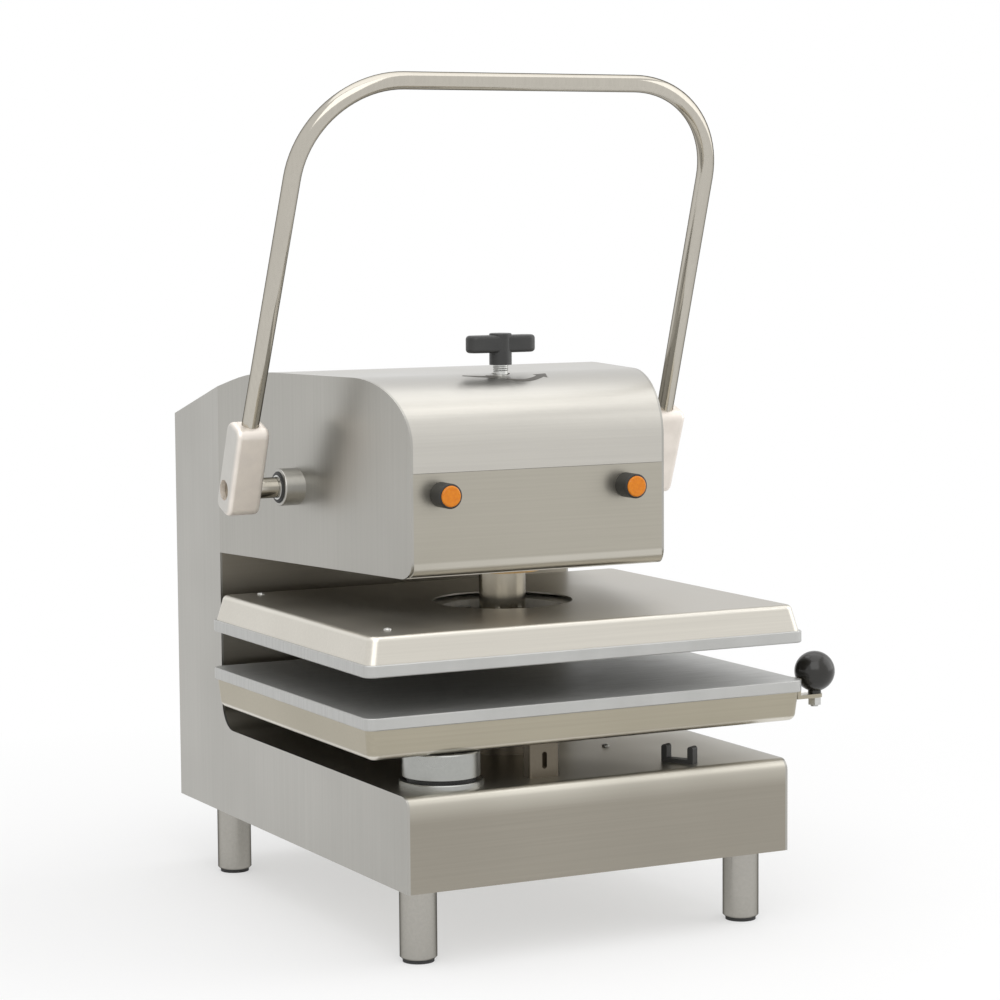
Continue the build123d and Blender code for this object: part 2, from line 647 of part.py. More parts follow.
# Indicator lamps: threaded bezels through the panel and domed lenses
LAMP_PLACES = ((LEFT_LAMP_X, LAMP_Z), (RIGHT_LAMP_X, LAMP_Z))
with BuildPart() as lamp_bezels:
    with BuildSketch(Plane.XZ.offset(HEAD_FRONT)):
        with Locations(*LAMP_PLACES):
            Circle(LAMP_DIAMETER / 2)
    extrude(amount=LAMP_LENGTH)
    rims = lamp_bezels.edges().filter_by(GeomType.CIRCLE).group_by(Axis.Y)[0]
    chamfer(rims, LAMP_CHAMFER)
    with BuildSketch(Plane.XZ.offset(HEAD_FRONT)):
        with Locations(*LAMP_PLACES):
            Circle(LAMP_THREAD / 2)
    extrude(amount=-LAMP_BACK)
    with BuildSketch(Plane.XZ.offset(HEAD_FRONT + LAMP_LENGTH)):
        with Locations(*LAMP_PLACES):
            Circle(LENS_DIAMETER / 2)
    extrude(amount=-LENS_SEAT, mode=Mode.SUBTRACT)
write(lamp_bezels, "lamp_bezels")

with BuildPart() as lamp_lenses:
    with BuildSketch(Plane.XZ.offset(HEAD_FRONT + LAMP_LENGTH - LENS_SEAT)):
        with Locations(*LAMP_PLACES):
            Circle(LENS_DIAMETER / 2)
    extrude(amount=LENS_SEAT + LENS_DOME)
    crowns = lamp_lenses.edges().filter_by(GeomType.CIRCLE).group_by(Axis.Y)[0]
    fillet(crowns, LENS_DOME)
write(lamp_lenses, "lamp_lenses")

# Fixed parts of the swing-out pivot: post with its flange, and a thrust washer
BARREL_BOTTOM = BASE_TOP + PIVOT_FLANGE + WASHER + SEAT
with BuildPart() as pivot_post:
    with BuildSketch(Plane.XY.offset(BASE_TOP)):
        with Locations((PIVOT_X, PIVOT_Y)):
            Circle(PIVOT_FLANGE_DIAMETER / 2)
    extrude(amount=PIVOT_FLANGE)
    chamfer(pivot_post.edges().filter_by(GeomType.CIRCLE).sort_by(Axis.Z)[-1], FLANGE_CHAMFER)
    with BuildSketch(Plane.XY.offset(BASE_TOP + PIVOT_FLANGE)):
        with Locations((PIVOT_X, PIVOT_Y)):
            Circle(POST_DIAMETER / 2)
    extrude(amount=PAN_BOTTOM - POST_TOP_GAP - BASE_TOP - PIVOT_FLANGE)
write(pivot_post, "pivot_post")

with BuildPart() as thrust_washer:
    with BuildSketch(Plane.XY.offset(BASE_TOP + PIVOT_FLANGE)):
        with Locations((PIVOT_X, PIVOT_Y)):
            Circle(WASHER_DIAMETER / 2)
            Circle(POST_DIAMETER / 2 + RUN, mode=Mode.SUBTRACT)
    extrude(amount=WASHER)
write(thrust_washer, "thrust_washer")

# Pedestal that backs up the lower platen under the ram
with BuildPart() as support_pedestal:
    with BuildSketch(Plane.XY.offset(BASE_TOP)):
        Circle(PEDESTAL_DIAMETER / 2)
    extrude(amount=PAN_BOTTOM - SEAT - BASE_TOP)
    chamfer(support_pedestal.edges().filter_by(GeomType.CIRCLE).sort_by(Axis.Z)[-1], FLANGE_CHAMFER)
write(support_pedestal, "support_pedestal")

# Slotted rest under the front of the pan
with BuildPart() as front_rest:
    with BuildSketch(Plane.XY.offset(BASE_TOP)):
        with Locations((REST_X, REST_Y)):
            Rectangle(REST_WIDTH, REST_DEPTH)
    extrude(amount=PAN_BOTTOM - SEAT - BASE_TOP)
    fillet(front_rest.edges().filter_by(Axis.Z), REST_FILLET)
    with BuildSketch(Plane.XZ.offset(-REST_Y + REST_DEPTH / 2)):
        with Locations((REST_X, (BASE_TOP + PAN_BOTTOM) / 2)):
            SlotOverall((PAN_BOTTOM - BASE_TOP) / 2, REST_SLOT, rotation=90)
    extrude(amount=-REST_DEPTH / 2, mode=Mode.SUBTRACT)
write(front_rest, "front_rest")

# Two-eared stop bracket at the front right, turned to face the swinging platen
STOP_ANGLE = radians(STOP_TURN)
STOP_FACE = Plane(
    origin=(STOP_X, STOP_Y, BASE_TOP),
    x_dir=(cos(STOP_ANGLE), sin(STOP_ANGLE), 0), z_dir=(sin(STOP_ANGLE), -cos(STOP_ANGLE), 0),
)
with BuildPart() as stop_bracket:
    with BuildSketch(STOP_FACE.offset(STOP_DEPTH / 2)):
        Rectangle(STOP_LENGTH, STOP_HEIGHT, align=(Align.CENTER, Align.MIN))
        with Locations((0, BRACKET_SHEET)):
            Rectangle(
                STOP_LENGTH - 2 * STOP_EAR, STOP_HEIGHT,
                align=(Align.CENTER, Align.MIN), mode=Mode.SUBTRACT,
            )
    extrude(amount=-STOP_DEPTH)
    across = stop_bracket.edges().filter_by(Axis(STOP_FACE.origin, STOP_FACE.z_dir))
    fillet(across.group_by(Axis.Z)[-1], STOP_FILLET)
write(stop_bracket, "stop_bracket")

# Cord entry gland, its bore open to the back
with BuildPart() as cord_gland:
    with BuildSketch(Plane.XZ.offset(-BODY_BACK)):
        with Locations((GLAND_X, GLAND_Z)):
            RegularPolygon(GLAND_DIAMETER / 2, 6)
    extrude(amount=-GLAND_HEX)
    with BuildSketch(Plane.XZ.offset(-BODY_BACK - GLAND_HEX)):
        with Locations((GLAND_X, GLAND_Z)):
            Circle(GLAND_THREAD / 2)
    extrude(amount=-GLAND_NOSE)
    with BuildSketch(Plane.XZ.offset(-BODY_BACK)):
        with Locations((GLAND_X, GLAND_Z)):
            Circle(GLAND_THREAD / 2)
    extrude(amount=GLAND_TAIL)
    with BuildSketch(Plane.XZ.offset(-BODY_BACK + GLAND_TAIL)):
        with Locations((GLAND_X, GLAND_Z)):
            Circle(CORD_DIAMETER / 2 + SEAT)
    extrude(amount=-GLAND_TAIL - GLAND_HEX - GLAND_NOSE, mode=Mode.SUBTRACT)
write(cord_gland, "cord_gland")

# Power switch: a frame in the rear cover and a rocker on two trunnions
ROCKER_Y = BODY_BACK - ROCKER_SINK
with BuildPart() as switch_frame:
    with BuildSketch(Plane.XZ.offset(-BODY_BACK)):
        with Locations((SWITCH_X, SWITCH_Z)):
            RectangleRounded(
                SWITCH_WIDTH + 2 * SWITCH_RIM, SWITCH_HEIGHT + 2 * SWITCH_RIM, SWITCH_RIM
            )
    extrude(amount=-SHEET)
    with BuildSketch(Plane.XZ.offset(-BODY_BACK)):
        with Locations((SWITCH_X, SWITCH_Z)):
            Rectangle(SWITCH_WIDTH, SWITCH_HEIGHT)
    extrude(amount=SWITCH_BODY)
    with BuildSketch(Plane.XZ.offset(-BODY_BACK - SHEET)):
        with Locations((SWITCH_X, SWITCH_Z)):
            Rectangle(SWITCH_WIDTH - 2 * SWITCH_RIM, SWITCH_HEIGHT - 2 * SWITCH_RIM)
    extrude(amount=SHEET + SWITCH_WELL, mode=Mode.SUBTRACT)
    with BuildSketch(Plane.YZ.offset(SWITCH_X - SWITCH_WIDTH)):
        with Locations((ROCKER_Y, SWITCH_Z)):
            Circle(TRUNNION_DIAMETER / 2 + RUN)
    extrude(amount=2 * SWITCH_WIDTH, mode=Mode.SUBTRACT)
write(switch_frame, "switch_frame")

ROCKER_WIDTH = SWITCH_WIDTH - 2 * SWITCH_RIM - 2 * SEAT
ROCKER_LENGTH = SWITCH_HEIGHT - 2 * SWITCH_RIM - 2 * ROCKER_END_GAP
TILT = radians(ROCKER_TILT)
ROCKER_SIDE = Plane(
    origin=(SWITCH_X - ROCKER_WIDTH / 2, ROCKER_Y, SWITCH_Z),
    x_dir=(0, cos(TILT), -sin(TILT)), z_dir=(1, 0, 0),
)
with BuildPart() as rocker:
    with BuildSketch(ROCKER_SIDE):
        with BuildLine():
            Polyline(
                (-ROCKER_ROOT, 0),
                (0, -ROCKER_LENGTH / 2), (ROCKER_RISE, -ROCKER_LENGTH / 2),
                (ROCKER_RISE - ROCKER_DISH, 0),
                (ROCKER_RISE, ROCKER_LENGTH / 2), (0, ROCKER_LENGTH / 2),
                close=True,
            )
        make_face()
    extrude(amount=ROCKER_WIDTH)
    with BuildSketch(ROCKER_SIDE.offset(-TRUNNION_LENGTH)):
        Circle(TRUNNION_DIAMETER / 2)
    extrude(amount=ROCKER_WIDTH + 2 * TRUNNION_LENGTH)
write(rocker, "rocker")

# Screws of the rear cover
with BuildPart() as rear_cover_screws:
    with BuildSketch(Plane.XZ.offset(-BODY_BACK)):
        with Locations((0, (REAR_COVER_BOTTOM + LIP_BOTTOM) / 2)):
            with GridLocations(
                2 * (INNER_HALF - SCREW_INSET), (LIP_BOTTOM - REAR_COVER_BOTTOM) / 2 - SCREW_INSET, 2, 3
            ):
                Circle(SCREW_HEAD / 2)
    extrude(amount=-SCREW_HEIGHT)
    fillet(rear_cover_screws.edges().filter_by(GeomType.CIRCLE).group_by(Axis.Y)[-1], SCREW_HEIGHT / 2)
write(rear_cover_screws, "rear_cover_screws")

# Lever: shaft, two hubs, set screws and the bent hand tube
LEAN = radians(HANDLE_LEAN)
LEVER_PLANE = Plane(
    origin=(0, SHAFT_Y, SHAFT_Z), x_dir=(1, 0, 0), z_dir=(0, -cos(LEAN), -sin(LEAN))
)
HUB_SIDE = Plane(
    origin=(-HANDLE_X - HUB_THICKNESS / 2, SHAFT_Y, SHAFT_Z),
    x_dir=(0, cos(LEAN), sin(LEAN)), z_dir=(1, 0, 0),
)
with BuildPart() as lever_shaft:
    with BuildSketch(HUB_SIDE.offset(HUB_RECESS)):
        Circle(SHAFT_DIAMETER / 2)
    extrude(amount=HANDLE_SPACING + HUB_THICKNESS - 2 * HUB_RECESS)
    chamfer(lever_shaft.edges().filter_by(GeomType.CIRCLE), SHAFT_CHAMFER)
write(lever_shaft, "lever_shaft")

ARM_FOOT = HUB_HEIGHT - HUB_SOCKET
ARM_X = HANDLE_X - HANDLE_TAPER
with BuildPart() as handle_tube:
    with BuildLine(LEVER_PLANE) as hand_line:
        FilletPolyline(
            (-HANDLE_X, ARM_FOOT), (-ARM_X, HANDLE_REACH),
            (ARM_X, HANDLE_REACH), (HANDLE_X, ARM_FOOT),
            radius=HANDLE_BEND,
        )
    with BuildSketch(Plane(origin=hand_line.line @ 0, z_dir=hand_line.line % 0)):
        Circle(TUBE_DIAMETER / 2)
        Circle(TUBE_DIAMETER / 2 - TUBE_WALL, mode=Mode.SUBTRACT)
    sweep(path=hand_line.line)
write(handle_tube, "handle_tube")

SOCKET_PLANE = Plane(origin=hand_line.line @ 0, z_dir=hand_line.line % 0)
with BuildPart() as left_hub:
    with BuildSketch(HUB_SIDE):
        with Locations((0, (HUB_HEIGHT - HUB_FOOT) / 2)):
            RectangleRounded(HUB_DEPTH, HUB_HEIGHT + HUB_FOOT, HUB_CORNER)
    extrude(amount=HUB_THICKNESS)
    fillet(left_hub.faces().filter_by(Axis.X).edges(), HUB_EDGE)
    with BuildSketch(HUB_SIDE):
        Circle(SHAFT_DIAMETER / 2)
    extrude(amount=HUB_THICKNESS, mode=Mode.SUBTRACT)
    with BuildSketch(SOCKET_PLANE):
        Circle(TUBE_DIAMETER / 2 + RUN)
    extrude(amount=2 * HUB_SOCKET, mode=Mode.SUBTRACT)
    with BuildSketch(LEVER_PLANE):
        with Locations((-HANDLE_X, 0)):
            Circle(SET_SCREW_DIAMETER / 2)
    extrude(amount=-HUB_DEPTH, mode=Mode.SUBTRACT)
write(left_hub, "left_hub")

with BuildPart() as right_hub:
    mirror(left_hub.part, about=Plane.YZ)
write(right_hub, "right_hub")

with BuildPart() as hub_set_screws:
    with BuildSketch(LEVER_PLANE.offset(-SHAFT_DIAMETER / 2 - RUN)):
        with Locations((-HANDLE_X, 0), (HANDLE_X, 0)):
            Circle(SET_SCREW_DIAMETER / 2 - RUN)
    extrude(amount=-SET_SCREW_LENGTH)
    with BuildSketch(LEVER_PLANE.offset(-SHAFT_DIAMETER / 2 - RUN - SET_SCREW_LENGTH)):
        with Locations((-HANDLE_X, 0), (HANDLE_X, 0)):
            RegularPolygon(SET_SCREW_DIAMETER / 4, 6)
    extrude(amount=SET_SCREW_LENGTH / 2, mode=Mode.SUBTRACT)
write(hub_set_screws, "hub_set_screws")

# Sector gear on the shaft: involute teeth on the side that faces the ram
TOOTH_ANGLE = 2 * pi / GEAR_TEETH
BASE_RADIUS = GEAR_RADIUS * cos(radians(PRESSURE_ANGLE))
TIP_RADIUS = GEAR_RADIUS + GEAR_MODULE
ROOT_RADIUS = GEAR_RADIUS - 1.25 * GEAR_MODULE


def involute(angle):
    """The involute function of a pressure angle in radians."""
    return tan(angle) - angle


def half_tooth(radius):
    """Half the angle that a gear tooth spans at a radius on its flank."""
    at_pitch = (RACK_PITCH - BACKLASH) / 4 / GEAR_RADIUS
    return at_pitch + involute(radians(PRESSURE_ANGLE)) - involute(acos(BASE_RADIUS / radius))


def polar(radius, angle):
    """Point of the gear's plane at a radius and an angle from the +Y side."""
    return (radius * cos(angle), radius * sin(angle))


with BuildPart() as sector_gear:
    gear_side = Plane(origin=(-GEAR_WIDTH / 2, SHAFT_Y, SHAFT_Z), x_dir=(0, 1, 0), z_dir=(1, 0, 0))
    with BuildSketch(gear_side):
        Circle(GEAR_HUB_DIAMETER / 2)
        for tooth in range(SECTOR_TEETH):
            middle = pi + TOOTH_ANGLE * (1 - tooth)
            radii = [BASE_RADIUS + (TIP_RADIUS - BASE_RADIUS) * step / 3 for step in range(4)]
            low = [polar(r, middle - half_tooth(r)) for r in radii]
            high = [polar(r, middle + half_tooth(r)) for r in radii]
            land = TOOTH_ANGLE / 2
            with BuildLine():
                flank_low = Spline(*low)
                flank_high = Spline(*high)
                Line(low[-1], high[-1])
                Line(polar(ROOT_RADIUS, middle - half_tooth(BASE_RADIUS)), low[0])
                Line(polar(ROOT_RADIUS, middle + half_tooth(BASE_RADIUS)), high[0])
                Polyline(
                    polar(ROOT_RADIUS, middle - half_tooth(BASE_RADIUS)),
                    polar(ROOT_RADIUS, middle - land),
                    (0, 0),
                    polar(ROOT_RADIUS, middle + land),
                    polar(ROOT_RADIUS, middle + half_tooth(BASE_RADIUS)),
                )
            make_face()
        Circle(SHAFT_DIAMETER / 2, mode=Mode.SUBTRACT)
    extrude(amount=GEAR_WIDTH)
write(sector_gear, "sector_gear")

# Rack on the back of the crosshead, in mesh with the sector
RACK_ROOT_Y = RACK_PITCH_Y - 1.25 * GEAR_MODULE
RACK_BACK_Y = RACK_ROOT_Y - RACK_BACKING
with BuildPart() as rack_bar:
    with BuildSketch(Plane.YZ.offset(-GEAR_WIDTH / 2)):
        with Locations((RACK_BACK_Y, SHAFT_Z - RACK_PITCH)):
            Rectangle(RACK_BACKING, RACK_TEETH * RACK_PITCH, align=Align.MIN)
        for tooth in range(RACK_TEETH):
            middle = SHAFT_Z + RACK_PITCH * (tooth - 0.5)
            half = (RACK_PITCH - BACKLASH) / 4
            root = half + 1.25 * GEAR_MODULE * tan(radians(PRESSURE_ANGLE))
            tip = half - GEAR_MODULE * tan(radians(PRESSURE_ANGLE))
            with BuildLine():
                Polyline(
                    (RACK_ROOT_Y, middle - root), (RACK_PITCH_Y + GEAR_MODULE, middle - tip),
                    (RACK_PITCH_Y + GEAR_MODULE, middle + tip), (RACK_ROOT_Y, middle + root),
                    close=True,
                )
            make_face()
    extrude(amount=GEAR_WIDTH)
write(rack_bar, "rack_bar")

# Ram: flange on the upper platen, round shaft, and a square bore for the stop nut
NUT_BOTTOM = NUT_TOP - NUT_HEIGHT
SCREW_END = NUT_BOTTOM - SCREW_TAIL
BORE_BOTTOM = SCREW_END - BORE_SPARE
BORE_SIZE = NUT_SIZE + 2 * NUT_CLEARANCE
with BuildPart() as ram_shaft:
    with BuildSketch(Plane.XY.offset(UPPER_PLATEN_TOP)):
        Circle(FLANGE_DIAMETER / 2)
    extrude(amount=FLANGE_THICKNESS)
    chamfer(ram_shaft.edges().filter_by(GeomType.CIRCLE).sort_by(Axis.Z)[-1], FLANGE_CHAMFER)
    with BuildSketch(Plane.XY.offset(UPPER_PLATEN_TOP + FLANGE_THICKNESS)):
        Circle(RAM_DIAMETER / 2)
    extrude(amount=CROSSHEAD_BOTTOM - UPPER_PLATEN_TOP - FLANGE_THICKNESS)
    with BuildSketch(Plane.XY.offset(BORE_BOTTOM)):
        Rectangle(BORE_SIZE, BORE_SIZE)
    extrude(amount=CROSSHEAD_BOTTOM - BORE_BOTTOM, mode=Mode.SUBTRACT)
write(ram_shaft, "ram_shaft")

with BuildPart() as crosshead:
    with BuildSketch(Plane.XY.offset(CROSSHEAD_BOTTOM)):
        with BuildLine():
            Polyline(
                (-CROSSHEAD_WIDTH / 2, -CROSSHEAD_FRONT / 2), (-RAM_DIAMETER, -CROSSHEAD_FRONT),
                (RAM_DIAMETER, -CROSSHEAD_FRONT), (CROSSHEAD_WIDTH / 2, -CROSSHEAD_FRONT / 2),
                (CROSSHEAD_WIDTH / 2, CROSSHEAD_FRONT / 2), (RAM_DIAMETER, RACK_BACK_Y),
                (-RAM_DIAMETER, RACK_BACK_Y), (-CROSSHEAD_WIDTH / 2, CROSSHEAD_FRONT / 2),
                close=True,
            )
        make_face()
    extrude(amount=CROSSHEAD_HEIGHT)
    with BuildSketch(Plane.XY.offset(CROSSHEAD_BOTTOM)):
        Rectangle(BORE_SIZE, BORE_SIZE)
    extrude(amount=CROSSHEAD_HEIGHT - CAP_THICKNESS, mode=Mode.SUBTRACT)
    with BuildSketch(Plane.XY.offset(CROSSHEAD_TOP)):
        Circle(CAP_BORE / 2)
    extrude(amount=-CAP_THICKNESS, mode=Mode.SUBTRACT)
write(crosshead, "crosshead")

with BuildPart() as lift_rods:
    with BuildSketch(Plane.XY.offset(LIFT_FLOOR + RAM_TRAVEL + LIFT_SPARE)):
        with GridLocations(LIFT_SPACING, 1, 2, 1):
            Circle(LIFT_ROD_DIAMETER / 2)
    extrude(amount=CROSSHEAD_BOTTOM - LIFT_FLOOR - RAM_TRAVEL - LIFT_SPARE)
write(lift_rods, "lift_rods")

with BuildPart() as flange_bolts:
    with BuildSketch(Plane.XY.offset(UPPER_PLATEN_TOP + FLANGE_THICKNESS)):
        with PolarLocations(BOLT_CIRCLE_DIAMETER / 2, FLANGE_BOLTS, start_angle=45):
            RegularPolygon(BOLT_DIAMETER * 0.9, 6)
    extrude(amount=BOLT_DIAMETER * 0.65)
write(flange_bolts, "flange_bolts")

# Platens: flat aluminium plates
for bottom, name in ((UPPER_PLATEN_BOTTOM, "upper_platen"), (LOWER_PLATEN_BOTTOM, "lower_platen")):
    with BuildPart() as platen:
        with BuildSketch(Plane.XY.offset(bottom)):
            RectangleRounded(PLATEN_WIDTH, PLATEN_DEPTH, PLATEN_CORNER)
        extrude(amount=PLATEN_THICKNESS)
        chamfer(platen.faces().filter_by(Axis.Z).edges(), PLATEN_CHAMFER)
    write(platen, name)


def tapered_block(wide_z, narrow_z, draft, fold, skin=0.0, mode=Mode.ADD):
    """Block between a platen's back and a flat face with a rounded edge, skin inside its outside."""
    margin = 2 * (COVER_STEP + skin)
    with BuildSketch(Plane.XY.offset(wide_z)) as wide:
        RectangleRounded(PLATEN_WIDTH - margin, PLATEN_DEPTH - margin, COVER_CORNER - skin)
    margin += 2 * draft
    with BuildSketch(Plane.XY.offset(narrow_z)) as narrow:
        RectangleRounded(PLATEN_WIDTH - margin, PLATEN_DEPTH - margin, COVER_CORNER - skin)
    block = loft([wide.sketch.face(), narrow.sketch.face()], mode=Mode.PRIVATE).solid()
    flat = block.faces().sort_by_distance((0, 0, narrow_z))[0]
    add(block.fillet(fold - skin, flat.edges()), mode=mode)


# Stainless cover over the upper platen, open round the ram
with BuildPart() as upper_cover:
    tapered_block(UPPER_PLATEN_TOP, COVER_TOP, COVER_DRAFT, COVER_FOLD)
    tapered_block(
        UPPER_PLATEN_TOP, COVER_TOP - PAN_SHEET, COVER_DRAFT, COVER_FOLD,
        skin=PAN_SHEET, mode=Mode.SUBTRACT,
    )
    with BuildSketch(Plane.XY.offset(COVER_TOP)):
        Circle(COVER_OPENING / 2)
    extrude(amount=-2 * PAN_SHEET, mode=Mode.SUBTRACT)
write(upper_cover, "upper_cover")

# Stainless pan under the lower platen
with BuildPart() as lower_pan:
    tapered_block(LOWER_PLATEN_BOTTOM, PAN_BOTTOM, PAN_DRAFT, PAN_FOLD)
    tapered_block(
        LOWER_PLATEN_BOTTOM, PAN_BOTTOM + PAN_SHEET, PAN_DRAFT, PAN_FOLD,
        skin=PAN_SHEET, mode=Mode.SUBTRACT,
    )
write(lower_pan, "lower_pan")

# Heating element with its thermostat disc, and insulation, behind each platen
HEATER_POINTS = []
HEATER_ROWS = (-HEATER_OUTER_ROW, -HEATER_INNER_ROW, HEATER_INNER_ROW, HEATER_OUTER_ROW)
for row, y in enumerate(HEATER_ROWS):
    ends = [(-HEATER_HALF_LENGTH, y), (HEATER_HALF_LENGTH, y)]
    HEATER_POINTS += ends if row % 2 == 0 else ends[::-1]
HEATER_LEVELS = {
    "upper": UPPER_PLATEN_TOP + HEATER_DIAMETER / 2,
    "lower": LOWER_PLATEN_BOTTOM - HEATER_DIAMETER / 2,
}
INSULATION_LEVELS = {
    "upper": UPPER_PLATEN_TOP + HEATER_DIAMETER + SEAT,
    "lower": LOWER_PLATEN_BOTTOM - HEATER_DIAMETER - SEAT - INSULATION,
}
for side, level in HEATER_LEVELS.items():
    with BuildPart() as heater:
        with BuildLine(Plane.XY.offset(level)) as element:
            FilletPolyline(*HEATER_POINTS, radius=HEATER_BEND)
        with BuildSketch(Plane(origin=element.line @ 0, z_dir=element.line % 0)):
            RegularPolygon(HEATER_DIAMETER / 2, HEATER_SIDES, rotation=180 / HEATER_SIDES)
        sweep(path=element.line)
        with BuildSketch(Plane.XY.offset(level - HEATER_DIAMETER / 2)):
            with Locations((THERMOSTAT_X, 0)):
                Circle(THERMOSTAT_DIAMETER / 2)
        extrude(amount=HEATER_DIAMETER)
    write(heater, f"{side}_heater")

    with BuildPart() as insulation:
        with BuildSketch(Plane.XY.offset(INSULATION_LEVELS[side])):
            Rectangle(PLATEN_WIDTH - 2 * INSULATION_INSET, PLATEN_DEPTH - 2 * INSULATION_INSET)
            if side == "upper":
                Circle(INSULATION_OPENING / 2, mode=Mode.SUBTRACT)
        extrude(amount=INSULATION)
    write(insulation, f"{side}_insulation")

# Swinging barrel under the pan, turning on the pivot post
with BuildPart() as pivot_barrel:
    with BuildSketch(Plane.XY.offset(BARREL_BOTTOM)):
        with Locations((PIVOT_X, PIVOT_Y)):
            Circle(BARREL_DIAMETER / 2)
            Circle(POST_DIAMETER / 2 + RUN, mode=Mode.SUBTRACT)
    extrude(amount=PAN_BOTTOM - BARREL_BOTTOM)
    chamfer(pivot_barrel.edges().filter_by(GeomType.CIRCLE).sort_by(SortBy.RADIUS)[-2:], FLANGE_CHAMFER)
write(pivot_barrel, "pivot_barrel")

# Pull knob of the lower platen: bracket on the rim, stud with its nut, and ball
EDGE_X = PLATEN_WIDTH / 2
TAB_TOP = LOWER_PLATEN_TOP - BRACKET_DROP
TAB_BOTTOM = TAB_TOP - BRACKET_SHEET
KNOB_X = EDGE_X + KNOB_OFFSET
with BuildPart() as knob_bracket:
    with BuildSketch(Plane.XY.offset(TAB_BOTTOM)):
        with Locations((KNOB_X, KNOB_Y)):
            Circle(BRACKET_WIDTH / 2)
            Rectangle(KNOB_OFFSET, BRACKET_WIDTH, align=(Align.MAX, Align.CENTER))
    extrude(amount=BRACKET_SHEET)
    with BuildSketch(Plane.XY.offset(TAB_TOP)):
        with Locations((EDGE_X, KNOB_Y)):
            Rectangle(BRACKET_SHEET, BRACKET_WIDTH, align=(Align.MIN, Align.CENTER))
    extrude(amount=BRACKET_DROP - PLATEN_CHAMFER)
    with BuildSketch(Plane.XY.offset(TAB_TOP)):
        with Locations((KNOB_X, KNOB_Y)):
            Circle(STUD_DIAMETER / 2)
    extrude(amount=-BRACKET_SHEET, mode=Mode.SUBTRACT)
write(knob_bracket, "knob_bracket")

with BuildPart() as knob_stud:
    with BuildSketch(Plane.XY.offset(TAB_BOTTOM - STUD_NUT - STUD_END)):
        with Locations((KNOB_X, KNOB_Y)):
            Circle(STUD_DIAMETER / 2)
    extrude(amount=BALL_Z - TAB_BOTTOM + STUD_NUT + STUD_END)
    with BuildSketch(Plane.XY.offset(TAB_BOTTOM - STUD_NUT)):
        with Locations((KNOB_X, KNOB_Y)):
            RegularPolygon(STUD_NUT_SIZE / 2, 6)
    extrude(amount=STUD_NUT)
write(knob_stud, "knob_stud")

with BuildPart() as ball_knob:
    with BuildSketch(Plane.XZ.offset(-KNOB_Y)):
        with Locations((KNOB_X, BALL_Z)):
            Circle(BALL_DIAMETER / 2)
        with Locations((KNOB_X, TAB_TOP)):
            Rectangle(KNOB_NECK_DIAMETER, BALL_Z - TAB_TOP, align=(Align.CENTER, Align.MIN))
            Rectangle(
                STUD_DIAMETER, BALL_Z - TAB_TOP, align=(Align.CENTER, Align.MIN), mode=Mode.SUBTRACT
            )
            Rectangle(
                BALL_DIAMETER, 2 * BALL_DIAMETER, align=(Align.MAX, Align.MIN), mode=Mode.SUBTRACT
            )
    revolve(axis=Axis((KNOB_X, KNOB_Y, 0), (0, 0, 1)))
write(ball_knob, "ball_knob")

# Thickness adjuster: screw held in the bridge by two collars, T-knob and square stop nut
KNOB_BOTTOM = HEAD_TOP + KNOB_RISE
KNOB_BAR_BOTTOM = KNOB_BOTTOM + KNOB_STEM
with BuildPart() as adjuster_screw:
    with BuildSketch(Plane.XY.offset(SCREW_END)):
        Circle(SCREW_DIAMETER / 2)
    extrude(amount=KNOB_BOTTOM + KNOB_SOCKET - SCREW_END)
    for level in (BRIDGE_TOP + SEAT, BRIDGE_BOTTOM - SEAT - COLLAR_HEIGHT):
        with BuildSketch(Plane.XY.offset(level)):
            Circle(COLLAR_DIAMETER / 2)
        extrude(amount=COLLAR_HEIGHT)
write(adjuster_screw, "adjuster_screw")

with BuildPart() as stop_nut:
    with BuildSketch(Plane.XY.offset(NUT_BOTTOM)):
        Rectangle(NUT_SIZE, NUT_SIZE)
        Circle(SCREW_DIAMETER / 2 + RUN, mode=Mode.SUBTRACT)
    extrude(amount=NUT_HEIGHT)
write(stop_nut, "stop_nut")

with BuildPart() as t_knob:
    with BuildSketch(Plane.XY.offset(KNOB_BAR_BOTTOM)):
        SlotOverall(KNOB_BAR_LENGTH, KNOB_BAR_DEPTH)
    extrude(amount=KNOB_BAR_HEIGHT)
    fillet(t_knob.faces().filter_by(Axis.Z).edges(), KNOB_EDGE)
    with BuildSketch(Plane.XY.offset(KNOB_BOTTOM)):
        Circle(KNOB_STEM_DIAMETER / 2)
    extrude(amount=KNOB_STEM + KNOB_BAR_HEIGHT + KNOB_CROWN)
    fillet(t_knob.edges().sort_by(Axis.Z)[-1], CROWN_FILLET)
    with BuildSketch(Plane.XY.offset(KNOB_BOTTOM)):
        Circle(SCREW_DIAMETER / 2)
    extrude(amount=KNOB_SOCKET, mode=Mode.SUBTRACT)
write(t_knob, "t_knob")
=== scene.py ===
from math import cos, pi, radians, sin, sqrt

import bmesh
import bpy
from mathutils import Matrix, Vector


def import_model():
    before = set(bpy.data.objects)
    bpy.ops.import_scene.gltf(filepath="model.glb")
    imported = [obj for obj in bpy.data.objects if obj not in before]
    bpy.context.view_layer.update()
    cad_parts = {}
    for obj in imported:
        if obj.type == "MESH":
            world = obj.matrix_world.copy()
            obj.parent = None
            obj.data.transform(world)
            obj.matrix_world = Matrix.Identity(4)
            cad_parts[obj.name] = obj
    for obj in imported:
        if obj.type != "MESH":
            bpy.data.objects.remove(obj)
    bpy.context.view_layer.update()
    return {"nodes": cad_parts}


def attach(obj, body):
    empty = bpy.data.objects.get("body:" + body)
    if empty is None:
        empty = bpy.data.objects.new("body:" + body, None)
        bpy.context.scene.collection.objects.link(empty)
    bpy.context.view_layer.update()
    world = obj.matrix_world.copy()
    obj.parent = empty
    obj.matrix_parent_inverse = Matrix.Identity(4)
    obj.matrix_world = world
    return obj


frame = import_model()
